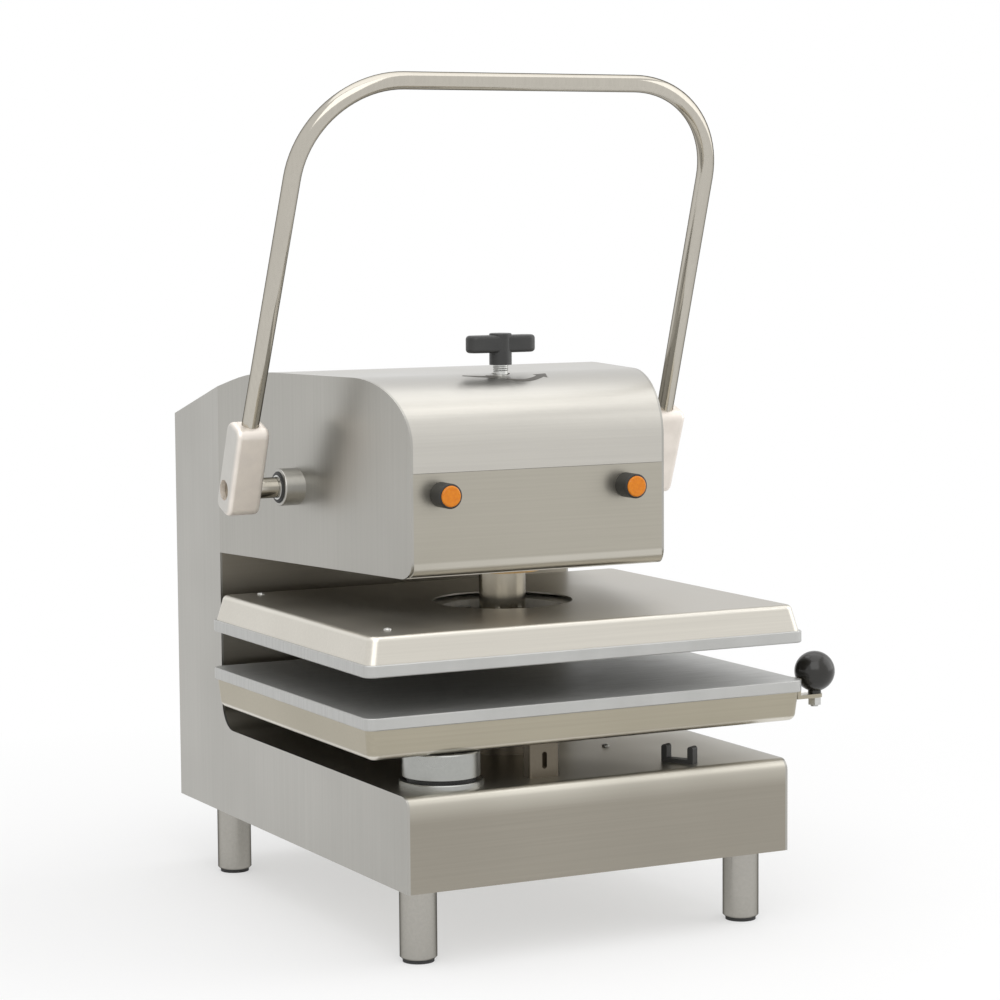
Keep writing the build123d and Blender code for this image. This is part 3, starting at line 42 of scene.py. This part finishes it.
NODES = frame["nodes"]

# Camera, as fitted to the photograph: metres and degrees, in the row frame
CAMERA_AZIMUTH = radians(-27.254)
CAMERA_ELEVATION = radians(5.438)
CAMERA_ROLL = radians(-0.419)
CAMERA_DISTANCE = 3.2562
CAMERA_LENS = 109.8         # millimetres, as is the sensor's width
SENSOR_WIDTH = 36.0
VIEW_END = 50.0             # nothing beyond this is seen
AIM_HEIGHT = 0.43941
AIM_SIDE = -0.00164

# Light
WORLD_FILL = 0.64           # what the object itself gets from all round
FLOOR_SIZE = 30.0
FLOOR_WHITE = 0.5           # share of plain white in the floor beside the press
FLOOR_FADE_START = 0.55
FLOOR_FADE_END = 1.3
FLOOR_COLOUR = (0.92, 0.92, 0.92)
FLOOR_ROUGHNESS = 0.9
WHITE = (1, 1, 1, 1)
LAMP_AIM = (0, 0.05, 0.45)
LAMPS = (                   # name, place, side of the square and watts
    ("key", (-1.2, -2.4, 2.6), 3.0, 36),
    ("top", (0.2, 0.3, 3.0), 3.2, 29),
    ("side", (2.8, -0.8, 1.6), 2.8, 25),
)

# Brushed sheet: where its painted highlight on rolled folds, and its painted light and shade
# on faces that look up, begin and end, by how far a face looks up or down
EDGE_HIGHLIGHT_SPAN = (0.28, 0.5)
TOP_LIGHT_AND_SHADE_SPAN = (0.7, 0.97)
HIGHLIGHT_BAND_SHARE = 0.85           # of the edge's tint, on the flat beside a rolled edge
FRONT_WALL = (-0.1, -0.05)  # metres back, over which the band dies away
CLOUD_SIZE = 5.0
CLOUD_SHADE = 0.85

# Cast hubs: painted shade on the sides that look left and right, by how far a face looks sideways
SIDE_SHADE_SPAN = (0.6, 0.95)
SIDE_SHADE_GREY = (0.58, 0.565, 0.53)

MM = 0.001

# Surfaces of the solids that small pieces lie on, in mm
HOOD_TOP = 575.0
BROW_START = 10.0
BROW_DEPTH = 98.0
BROW_HEIGHT = 67.0
INK_LIFT = 0.08
INK_THICKNESS = 0.12
COVER_TOP = 332.3
BASE_TOP = 174.5
SHAFT_Y = 113.0
SHAFT_Z = 454.4
BUSHING_FACE = 211.5

# How finely the small pieces are made
LATHE_STEPS = 48
ARROW_STEPS = 14
ARROW_TAIL = 0.55           # width of an arrow's tail, as a share of its width at the head
ARROW_POINT = 0.2           # half the width of its blunt point, in mm
THREAD_STEPS = 24           # a turn
THREAD_ROOT = 0.3           # mm that a thread's foot lies inside its stud
THREAD_FOOT = 0.45          # half of its foot, in pitches
THREAD_RUN_OUT = 6          # it rises over one part in this many of its length
WELD = 1e-7


# Helpers for node materials
EQUAL = (1, 1, 1)


class Shader:
    """A material with a principled shader, and short calls to add nodes to it."""

    def __init__(self, name, colour, metallic=0.0, roughness=0.5):
        self.material = bpy.data.materials.new(name)
        self.material.use_nodes = True
        self.nodes = self.material.node_tree.nodes
        self.links = self.material.node_tree.links
        self.surface = self.nodes["Principled BSDF"]
        self.surface.inputs["Base Color"].default_value = (*colour, 1)
        self.surface.inputs["Metallic"].default_value = metallic
        self.surface.inputs["Roughness"].default_value = roughness
        self.material.diffuse_color = (*colour, 1)
        self.place = self.nodes.new("ShaderNodeTexCoord").outputs["Object"]

    def noise(self, stretch, scale=1.0, detail=4.0):
        """Noise over the object's own place, squeezed along each axis by stretch."""
        mapping = self.nodes.new("ShaderNodeMapping")
        mapping.inputs["Scale"].default_value = stretch
        self.links.new(self.place, mapping.inputs["Vector"])
        noise = self.nodes.new("ShaderNodeTexNoise")
        noise.inputs["Scale"].default_value = scale
        noise.inputs["Detail"].default_value = detail
        self.links.new(mapping.outputs["Vector"], noise.inputs["Vector"])
        return noise.outputs["Fac"]

    def between(self, value, low, high, start=0.3, end=0.7):
        """Maps a value from start..end to low..high."""
        remap = self.nodes.new("ShaderNodeMapRange")
        remap.inputs["From Min"].default_value = start
        remap.inputs["From Max"].default_value = end
        remap.inputs["To Min"].default_value = low
        remap.inputs["To Max"].default_value = high
        self.links.new(value, remap.inputs["Value"])
        return remap.outputs["Result"]

    def math(self, operation, *values):
        """A calculation on one or two values."""
        made = self.nodes.new("ShaderNodeMath")
        made.operation = operation
        for socket, value in zip(made.inputs, values):
            self.links.new(value, socket)
        return made.outputs[0]

    def split(self, vector):
        """The X, Y and Z of a vector."""
        parts = self.nodes.new("ShaderNodeSeparateXYZ")
        self.links.new(vector, parts.inputs[0])
        return parts.outputs

    def facing(self):
        """The way that the surface faces, as X, Y and Z."""
        return self.split(self.nodes.new("ShaderNodeNewGeometry").outputs["Normal"])

    def mix(self, factor, first, second):
        """Mixes two colours, or a colour and an earlier mix, by a factor."""
        mix = self.nodes.new("ShaderNodeMix")
        mix.data_type = "RGBA"
        self.links.new(factor, mix.inputs["Factor"])
        for socket, value in ((mix.inputs[6], first), (mix.inputs[7], second)):
            if isinstance(value, bpy.types.NodeSocket):
                self.links.new(value, socket)
            else:
                socket.default_value = (*value, 1)
        return mix.outputs[2]

    def colour(self, value):
        self.links.new(value, self.surface.inputs["Base Color"])

    def roughness(self, value):
        self.links.new(value, self.surface.inputs["Roughness"])

    def bump(self, value, depth):
        """Bumps the surface by a height of depth metres."""
        bump = self.nodes.new("ShaderNodeBump")
        bump.inputs["Strength"].default_value = 1.0
        bump.inputs["Distance"].default_value = depth
        self.links.new(value, bump.inputs["Height"])
        self.links.new(bump.outputs["Normal"], self.surface.inputs["Normal"])


def scaled(colour, share):
    """The colour, darker or lighter by a share."""
    return tuple(share * c for c in colour)


def brushed(name, colour, grain, roughness=(0.28, 0.38), contrast=0.93, depth=0.000004,
            top=None, edge_highlight=None, highlight_band=None, rim=None):
    """Brushed metal: fine lines along the axis where grain is least, and faint clouding.
    Faces that look straight up take the colour top, which is painted light and shade: lighter on
    some parts and darker on others, as such faces look when lit. Rolled folds take the edge
    colour, a painted highlight, where these are given. On the front wall the painted highlight
    grows over the height band, from its first value to its second, in metres. The shade rim dulls
    the rims of round stock."""
    shader = Shader(name, colour, metallic=1.0)
    if rim:
        shader.surface.inputs["Specular Tint"].default_value = (rim, rim, rim, 1)
    lines = shader.noise(grain, detail=3.0)
    cloud = shader.noise(EQUAL, scale=CLOUD_SIZE, detail=2.0)
    tone = shader.mix(shader.between(lines, 0, 1), scaled(colour, contrast), colour)
    # Painted highlight: faces that slant between upright and level, as on rolled folds, are made
    # lighter
    if edge_highlight:
        slant = shader.math("ABSOLUTE", shader.facing()["Z"])
        tone = shader.mix(shader.between(slant, 0, 1, *EDGE_HIGHLIGHT_SPAN), tone, edge_highlight)
    # Painted highlight: a lighter band on the front wall, over a given height near its fold
    if highlight_band:
        spot = shader.split(shader.place)
        near = shader.between(spot["Z"], 0, HIGHLIGHT_BAND_SHARE, *highlight_band)
        front = shader.between(spot["Y"], 1, 0, *FRONT_WALL)
        tone = shader.mix(shader.math("MULTIPLY", near, front), tone, edge_highlight)
    # Painted light and shade: faces that look up take the top colour, lighter on some parts and
    # darker on others
    if top:
        tone = shader.mix(shader.between(shader.facing()["Z"], 0, 1, *TOP_LIGHT_AND_SHADE_SPAN), tone, top)
    shader.colour(shader.mix(shader.between(cloud, 0, 0.5), tone, scaled(colour, CLOUD_SHADE)))
    shader.roughness(shader.between(cloud, *roughness))
    shader.bump(lines, depth)
    return shader.material


def moulded(name, colour, roughness, speck=900.0, depth=0.00003):
    """Moulded plastic or rubber with a fine grain and slight unevenness of gloss."""
    shader = Shader(name, colour)
    grain = shader.noise(EQUAL, scale=speck, detail=2.0)
    patch = shader.noise(EQUAL, scale=35.0, detail=3.0)
    shader.colour(shader.mix(shader.between(patch, 0, 1), colour, scaled(colour, 1.5)))
    shader.roughness(shader.between(patch, roughness * 0.85, roughness * 1.15))
    shader.bump(grain, depth)
    return shader.material


# Materials, by the part of the press that they dress. A grain is cycles a metre on each axis
ALONG_X = (5, 420, 420)
ALONG_Z = (420, 420, 5)
EVEN = (300, 300, 300)

# The stainless parts are one brushed steel. Their colours differ part by part, partly as their own
# tone and partly as painted light and shade; colours given for upward faces are painted light and
# shade, and those given for rolled folds are painted highlights.
SIDE_STEEL = brushed("steel_side", (0.44, 0.43, 0.40), ALONG_Z)
HOOD_STEEL = brushed("steel_hood", (0.57, 0.55, 0.505), ALONG_X, top=(0.47, 0.46, 0.435))
PANEL_STEEL = brushed("steel_panel", (0.445, 0.42, 0.36), ALONG_X,
                      edge_highlight=(0.66, 0.635, 0.57), highlight_band=(0.3885, 0.3865))
BASE_STEEL = brushed("steel_base", (0.335, 0.31, 0.262), ALONG_X,
                     top=(0.42, 0.40, 0.35), edge_highlight=(0.70, 0.67, 0.59), highlight_band=(0.148, 0.172))
COVER_STEEL = brushed("steel_cover", (0.66, 0.63, 0.565), ALONG_X,
                      top=(0.40, 0.375, 0.325), edge_highlight=(0.74, 0.71, 0.64))
PAN_STEEL = brushed("steel_pan", (0.41, 0.375, 0.295), ALONG_X, edge_highlight=(0.78, 0.75, 0.68))
REAR_STEEL = brushed("steel_rear", (0.43, 0.42, 0.39), ALONG_Z)
LEG_STEEL = brushed("steel_leg", (0.42, 0.405, 0.37), EVEN, roughness=(0.14, 0.22), rim=0.2)
TUBE_STEEL = brushed("steel_tube", (0.53, 0.50, 0.44), ALONG_Z, roughness=(0.08, 0.15), rim=0.1)
RAM_STEEL = brushed("steel_ram", (0.37, 0.34, 0.28), ALONG_Z, roughness=(0.15, 0.25),
                    top=(0.11, 0.09, 0.055))
# Dark steel for the pedestal and front rest under the lower platen: partly their own dark finish,
# partly painted shade, where the platen shades them.
DARK_STEEL = brushed("steel_dark", (0.15, 0.13, 0.10), EVEN, roughness=(0.3, 0.42))
PIVOT_STEEL = brushed("steel_pivot", (0.40, 0.405, 0.385), EVEN, roughness=(0.22, 0.34))
ZINC = brushed("zinc", (0.62, 0.62, 0.60), EVEN, roughness=(0.25, 0.4), contrast=0.88)
FRAME_STEEL = moulded("painted_frame", (0.05, 0.05, 0.052), 0.5)
BRONZE = brushed("bronze", (0.45, 0.29, 0.13), EVEN, roughness=(0.3, 0.45))
NYLON = moulded("black_nylon", (0.012, 0.012, 0.011), 0.5)
PHENOLIC = moulded("black_phenolic", (0.012, 0.011, 0.009), 0.2, depth=0.00001)
KNOB_BLACK = moulded("black_knob", (0.022, 0.022, 0.021), 0.4, depth=0.00002)
RUBBER = moulded("foot_rubber", (0.03, 0.03, 0.03), 0.75)
FELT = moulded("ceramic_felt", (0.6, 0.58, 0.52), 0.95, speck=400.0, depth=0.0003)
DARK_SHEATH = brushed("heater_sheath", (0.22, 0.2, 0.18), EVEN, roughness=(0.4, 0.6))


def cast_alloy():
    """Satin cast alloy with a fine pitted skin, with painted shade: its sideways faces are darker
    grey.
    """
    shader = Shader("cast_alloy", (0.74, 0.68, 0.62), metallic=0.6)
    pits = shader.noise(EQUAL, scale=1400.0, detail=3.0)
    patch = shader.noise(EQUAL, scale=60.0)
    skin = shader.mix(shader.between(patch, 0, 1), (0.88, 0.815, 0.745), (0.80, 0.74, 0.675))
    # Painted shade: faces that look sideways take a darker grey
    broad = shader.math("ABSOLUTE", shader.facing()["X"])
    shader.colour(shader.mix(shader.between(broad, 0, 1, *SIDE_SHADE_SPAN), skin, SIDE_SHADE_GREY))
    shader.roughness(shader.between(patch, 0.38, 0.5))
    shader.bump(pits, 0.00004)
    return shader.material


def platen_aluminium():
    """Pale aluminium plate, milled flat, with light scuffs."""
    shader = Shader("platen_aluminium", (0.48, 0.48, 0.465), metallic=0.7)
    swirl = shader.noise(EQUAL, scale=260.0, detail=3.0)
    scuff = shader.noise((5, 60, 5), scale=4.0)
    shader.colour(shader.mix(shader.between(scuff, 0, 1), (0.50, 0.50, 0.485), (0.45, 0.45, 0.435)))
    shader.roughness(shader.between(scuff, 0.36, 0.46))
    shader.bump(swirl, 0.000005)
    return shader.material


def amber_lens():
    """Translucent amber lens of an indicator lamp, ribbed inside."""
    shader = Shader("amber_lens", (0.74, 0.22, 0.004), roughness=0.22)
    ribs = shader.noise(EQUAL, scale=300.0, detail=1.0)
    shader.colour(shader.mix(shader.between(ribs, 0, 1), (0.76, 0.24, 0.005), (0.68, 0.19, 0.003)))
    shader.bump(ribs, 0.00003)
    shader.surface.inputs["Specular IOR Level"].default_value = 0.3
    shader.surface.inputs["Transmission Weight"].default_value = 0.05
    shader.surface.inputs["Coat Weight"].default_value = 0.15
    return shader.material


ALLOY = cast_alloy()
ALUMINIUM = platen_aluminium()
AMBER = amber_lens()
INK = moulded("marking_ink", (0.085, 0.08, 0.07), 0.6)

DRESS = {
    SIDE_STEEL: "left_side_plate right_side_plate",
    HOOD_STEEL: "head_hood",
    PANEL_STEEL: "head_front_panel head_bottom_plate",
    BASE_STEEL: "base_cover base_bottom_plate",
    REAR_STEEL: "rear_cover",
    COVER_STEEL: "upper_cover",
    PAN_STEEL: "lower_pan knob_bracket",
    PIVOT_STEEL: "pivot_barrel pivot_post",
    LEG_STEEL: "front_left_leg front_right_leg back_left_leg back_right_leg",
    TUBE_STEEL: "handle_tube lever_shaft",
    RAM_STEEL: "ram_shaft",
    ZINC: "knob_stud rear_cover_screws frame_bolts flange_bolts"
          " hub_set_screws stop_nut lift_rods adjuster_screw rack_bar sector_gear",
    FRAME_STEEL: "left_frame_plate right_frame_plate base_beam adjuster_bridge guide_block"
                 " crosshead lift_cylinders",
    DARK_STEEL: "support_pedestal front_rest",
    BRONZE: "ram_bush shaft_bearings",
    NYLON: "shaft_bushings thrust_washer lamp_bezels cord_gland switch_frame rocker"
           " stop_bracket",
    PHENOLIC: "ball_knob",
    KNOB_BLACK: "t_knob",
    RUBBER: "foot_pads",
    ALUMINIUM: "upper_platen lower_platen",
    ALLOY: "left_hub right_hub",
    AMBER: "lamp_lenses",
    FELT: "upper_insulation lower_insulation",
    DARK_SHEATH: "upper_heater lower_heater",
}


def dress(node, material):
    """Gives a CAD node its material in every slot."""
    node.data.materials.clear()
    node.data.materials.append(material)


for material, names in DRESS.items():
    for name in names.split():
        dress(NODES[name], material)


# Small pieces that the solids leave to the scene
def piece(name, mesh, material, body):
    """Adds a mesh as a piece that rides on a body and takes its finish from a slot."""
    made = bpy.data.objects.new(name, mesh)
    bpy.context.collection.objects.link(made)
    mesh.materials.append(material)
    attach(made, body)
    return made


def mesh_from(name, shape):
    """A mesh of a finished bmesh, with its faces turned outwards."""
    bmesh.ops.recalc_face_normals(shape, faces=shape.faces)
    mesh = bpy.data.meshes.new(name)
    shape.to_mesh(mesh)
    shape.free()
    return mesh


def lathe(name, profile, turn, material, body):
    """Turned piece: a closed profile of (radius, height) in mm, set in place by the matrix turn."""
    shape = bmesh.new()
    rings = []
    for step in range(LATHE_STEPS):
        angle = 2 * pi * step / LATHE_STEPS
        rings.append([
            shape.verts.new(turn @ Vector((r * cos(angle), r * sin(angle), h)) * MM)
            for r, h in profile
        ])
    count = len(profile)
    for step in range(LATHE_STEPS):
        here, there = rings[step], rings[(step + 1) % LATHE_STEPS]
        for i in range(count):
            j = (i + 1) % count
            shape.faces.new((here[i], there[i], there[j], here[j]))
    bmesh.ops.remove_doubles(shape, verts=shape.verts, dist=WELD)
    return piece(name, mesh_from(name, shape), material, body)


def upright(x, y, z):
    """Place of a turned piece that stands up from a point given in mm."""
    return Matrix.Translation((x, y, z))


def thread(name, radius, low, high, pitch, depth, centre, material, body):
    """Screw thread: a ridge wound round a stud, in mm, ending flush in it."""
    turns = (high - low - pitch) / pitch
    steps = int(turns * THREAD_STEPS)
    shape = bmesh.new()
    rings = []
    for step in range(steps + 1):
        share = step / steps
        angle = 2 * pi * turns * share
        height = low + pitch / 2 + pitch * turns * share
        crest = radius + depth * min(1, THREAD_RUN_OUT * share, THREAD_RUN_OUT * (1 - share))
        root = radius - THREAD_ROOT
        ring = []
        for r, h in ((root, -THREAD_FOOT), (crest, 0.0), (root, THREAD_FOOT)):
            point = (centre[0] + r * cos(angle), centre[1] + r * sin(angle), height + h * pitch)
            ring.append(shape.verts.new(Vector(point) * MM))
        rings.append(ring)
    for here, there in zip(rings, rings[1:]):
        for i in range(3):
            shape.faces.new((here[i], there[i], there[(i + 1) % 3], here[(i + 1) % 3]))
    shape.faces.new(rings[0])
    shape.faces.new(rings[-1])
    return piece(name, mesh_from(name, shape), material, body)


def pan_head(radius, height):
    """Profile of a domed screw head with a round socket, closed on the axis."""
    return [
        (0, 0), (radius, 0), (radius, 0.45 * height), (0.92 * radius, 0.72 * height),
        (0.72 * radius, 0.92 * height), (0.42 * radius, height), (0.36 * radius, 0.94 * height),
        (0.34 * radius, 0.45 * height), (0, 0.45 * height),
    ]


def hood_height(y):
    """Height of the hood's outside at depth y, in mm: flat, then curved down to the front."""
    if y > BROW_START:
        return HOOD_TOP
    fall = (BROW_START - y) / BROW_DEPTH
    return HOOD_TOP - BROW_HEIGHT * (1 - sqrt(1 - fall * fall))


def curved_arrow(name, points, width, head_width, head_length):
    """Printed arrow along a bent line in plan, laid on the hood's outside."""
    start, bend, end = (Vector(p) for p in points)
    shape = bmesh.new()
    pairs = []
    for step in range(ARROW_STEPS + 1):
        t = step / ARROW_STEPS
        middle = start * (1 - t) ** 2 + bend * 2 * t * (1 - t) + end * t * t
        heading = ((bend - start) * (1 - t) + (end - bend) * t).normalized()
        across = Vector((-heading.y, heading.x))
        pairs.append((middle, across, width / 2 * (ARROW_TAIL + (1 - ARROW_TAIL) * t)))
    pairs.append((end, across, head_width / 2))
    pairs.append((end + heading * head_length * 0.5, across, head_width / 4))
    pairs.append((end + heading * head_length, across, ARROW_POINT))
    rows = []
    for middle, across, half in pairs:
        row = []
        for side in (-1, -0.33, 0.33, 1):
            spot = middle + across * half * side
            height = hood_height(spot.y) + INK_LIFT
            row.append(shape.verts.new(Vector((spot.x, spot.y, height)) * MM))
        rows.append(row)
    for here, there in zip(rows, rows[1:]):
        for i in range(3):
            shape.faces.new((here[i], here[i + 1], there[i + 1], there[i]))
    arrow = piece(name, mesh_from(name, shape), INK, "frame")
    skin = arrow.modifiers.new("thickness", "SOLIDIFY")
    skin.thickness = INK_THICKNESS * MM
    skin.offset = 0.0


curved_arrow("arrow_left", ((-49, -7), (-36, -14), (-24, -16)), 7, 15, 15)
curved_arrow("arrow_right", ((-6, -26), (14, -40), (37, -20)), 8, 17, 15)

SCREW_HEAD = pan_head(4.0, 2.2)
for name, x, y in (("front", -208.3, -154.3), ("back", -207.0, 172.0)):
    lathe("cover_screw_" + name, SCREW_HEAD, upright(x, y, COVER_TOP), ZINC, "ram")
lathe("base_top_screw", SCREW_HEAD, upright(92.7, -59.6, BASE_TOP), ZINC, "frame")

# Bright washers round the lever's shaft, on the black bushings
WASHER = [(11.3, 0), (13.2, 0), (13.2, 0.5), (12.9, 0.8), (11.3, 0.8)]
for name, side in (("left", -1), ("right", 1)):
    turn = upright(side * BUSHING_FACE, SHAFT_Y, SHAFT_Z) @ Matrix.Rotation(side * pi / 2, 4, "Y")
    lathe("shaft_washer_" + name, WASHER, turn, ZINC, "frame")

thread("adjuster_thread", 8.0, 575.6, 583.6, 2.0, 0.5, (0, 0), ZINC,
       "adjuster")
thread("stud_thread", 4.0, 219.9, 221.9, 0.9, 0.3, (280, -180), ZINC,
       "lower_press")


# Camera
def camera():
    """The camera at the photograph's viewing angle."""
    az, el = CAMERA_AZIMUTH, CAMERA_ELEVATION
    back = Vector((sin(az) * cos(el), -cos(az) * cos(el), sin(el)))
    level = Vector((cos(az), sin(az), 0))
    plumb = back.cross(level)
    right = level * cos(CAMERA_ROLL) + plumb * sin(CAMERA_ROLL)
    up = plumb * cos(CAMERA_ROLL) - level * sin(CAMERA_ROLL)
    place = level * AIM_SIDE + Vector((0, 0, AIM_HEIGHT)) + back * CAMERA_DISTANCE
    data = bpy.data.cameras.new("camera")
    data.lens = CAMERA_LENS
    data.sensor_width = SENSOR_WIDTH
    data.clip_end = VIEW_END
    eye = bpy.data.objects.new("camera", data)
    turn = Matrix((right, up, back)).transposed().to_4x4()
    eye.matrix_world = Matrix.Translation(place) @ turn
    bpy.context.collection.objects.link(eye)
    bpy.context.scene.camera = eye


camera()


# Stage: floor, world and lamps
def seen_ray(nodes, links):
    """One for rays from the camera, from reflections and through glass, and zero for light."""
    rays = nodes.new("ShaderNodeLightPath")
    seen = rays.outputs["Is Camera Ray"]
    for kind in ("Is Glossy Ray", "Is Transmission Ray"):
        more = nodes.new("ShaderNodeMath")
        more.operation = "MAXIMUM"
        links.new(seen, more.inputs[0])
        links.new(rays.outputs[kind], more.inputs[1])
        seen = more.outputs[0]
    return seen


def world():
    """White to the camera and in reflections, and a dimmer fill for everything else."""
    ground = bpy.data.worlds.new("studio")
    bpy.context.scene.world = ground
    ground.use_nodes = True
    nodes, links = ground.node_tree.nodes, ground.node_tree.links
    nodes.clear()
    white = nodes.new("ShaderNodeBackground")
    white.inputs["Color"].default_value = WHITE
    fill = nodes.new("ShaderNodeBackground")
    fill.inputs["Color"].default_value = WHITE
    fill.inputs["Strength"].default_value = WORLD_FILL
    mix = nodes.new("ShaderNodeMixShader")
    output = nodes.new("ShaderNodeOutputWorld")
    links.new(seen_ray(nodes, links), mix.inputs["Fac"])
    links.new(fill.outputs[0], mix.inputs[1])
    links.new(white.outputs[0], mix.inputs[2])
    links.new(mix.outputs[0], output.inputs["Surface"])


def floor():
    """A plain pale floor, which turns to plain white away from the press for whatever sees it."""
    mesh = bpy.data.meshes.new("floor")
    half = FLOOR_SIZE / 2
    corners = [(-half, -half, 0), (half, -half, 0), (half, half, 0), (-half, half, 0)]
    mesh.from_pydata(corners, [], [(0, 1, 2, 3)])
    ground = bpy.data.objects.new("floor", mesh)
    bpy.context.collection.objects.link(ground)
    shader = Shader("floor", FLOOR_COLOUR, roughness=FLOOR_ROUGHNESS)
    shader.surface.inputs["Specular IOR Level"].default_value = 0.0
    nodes, links = shader.nodes, shader.links
    reach = nodes.new("ShaderNodeVectorMath")
    reach.operation = "LENGTH"
    links.new(shader.place, reach.inputs[0])
    far = shader.between(reach.outputs["Value"], FLOOR_WHITE, 1, FLOOR_FADE_START, FLOOR_FADE_END)
    white = nodes.new("ShaderNodeEmission")
    mix = nodes.new("ShaderNodeMixShader")
    links.new(shader.math("MULTIPLY", far, seen_ray(nodes, links)), mix.inputs["Fac"])
    links.new(shader.surface.outputs[0], mix.inputs[1])
    links.new(white.outputs[0], mix.inputs[2])
    links.new(mix.outputs[0], nodes["Material Output"].inputs["Surface"])
    mesh.materials.append(shader.material)


def lamp(name, place, size, power):
    """A square soft lamp at a place, turned to the press."""
    data = bpy.data.lights.new(name, "AREA")
    data.shape = "SQUARE"
    data.size = size
    data.energy = power
    light = bpy.data.objects.new(name, data)
    light.location = place
    light.rotation_euler = (Vector(LAMP_AIM) - Vector(place)).to_track_quat("-Z", "Y").to_euler()
    bpy.context.collection.objects.link(light)


world()
floor()
for settings in LAMPS:
    lamp(*settings)
bpy.context.scene.view_settings.view_transform = "Standard"
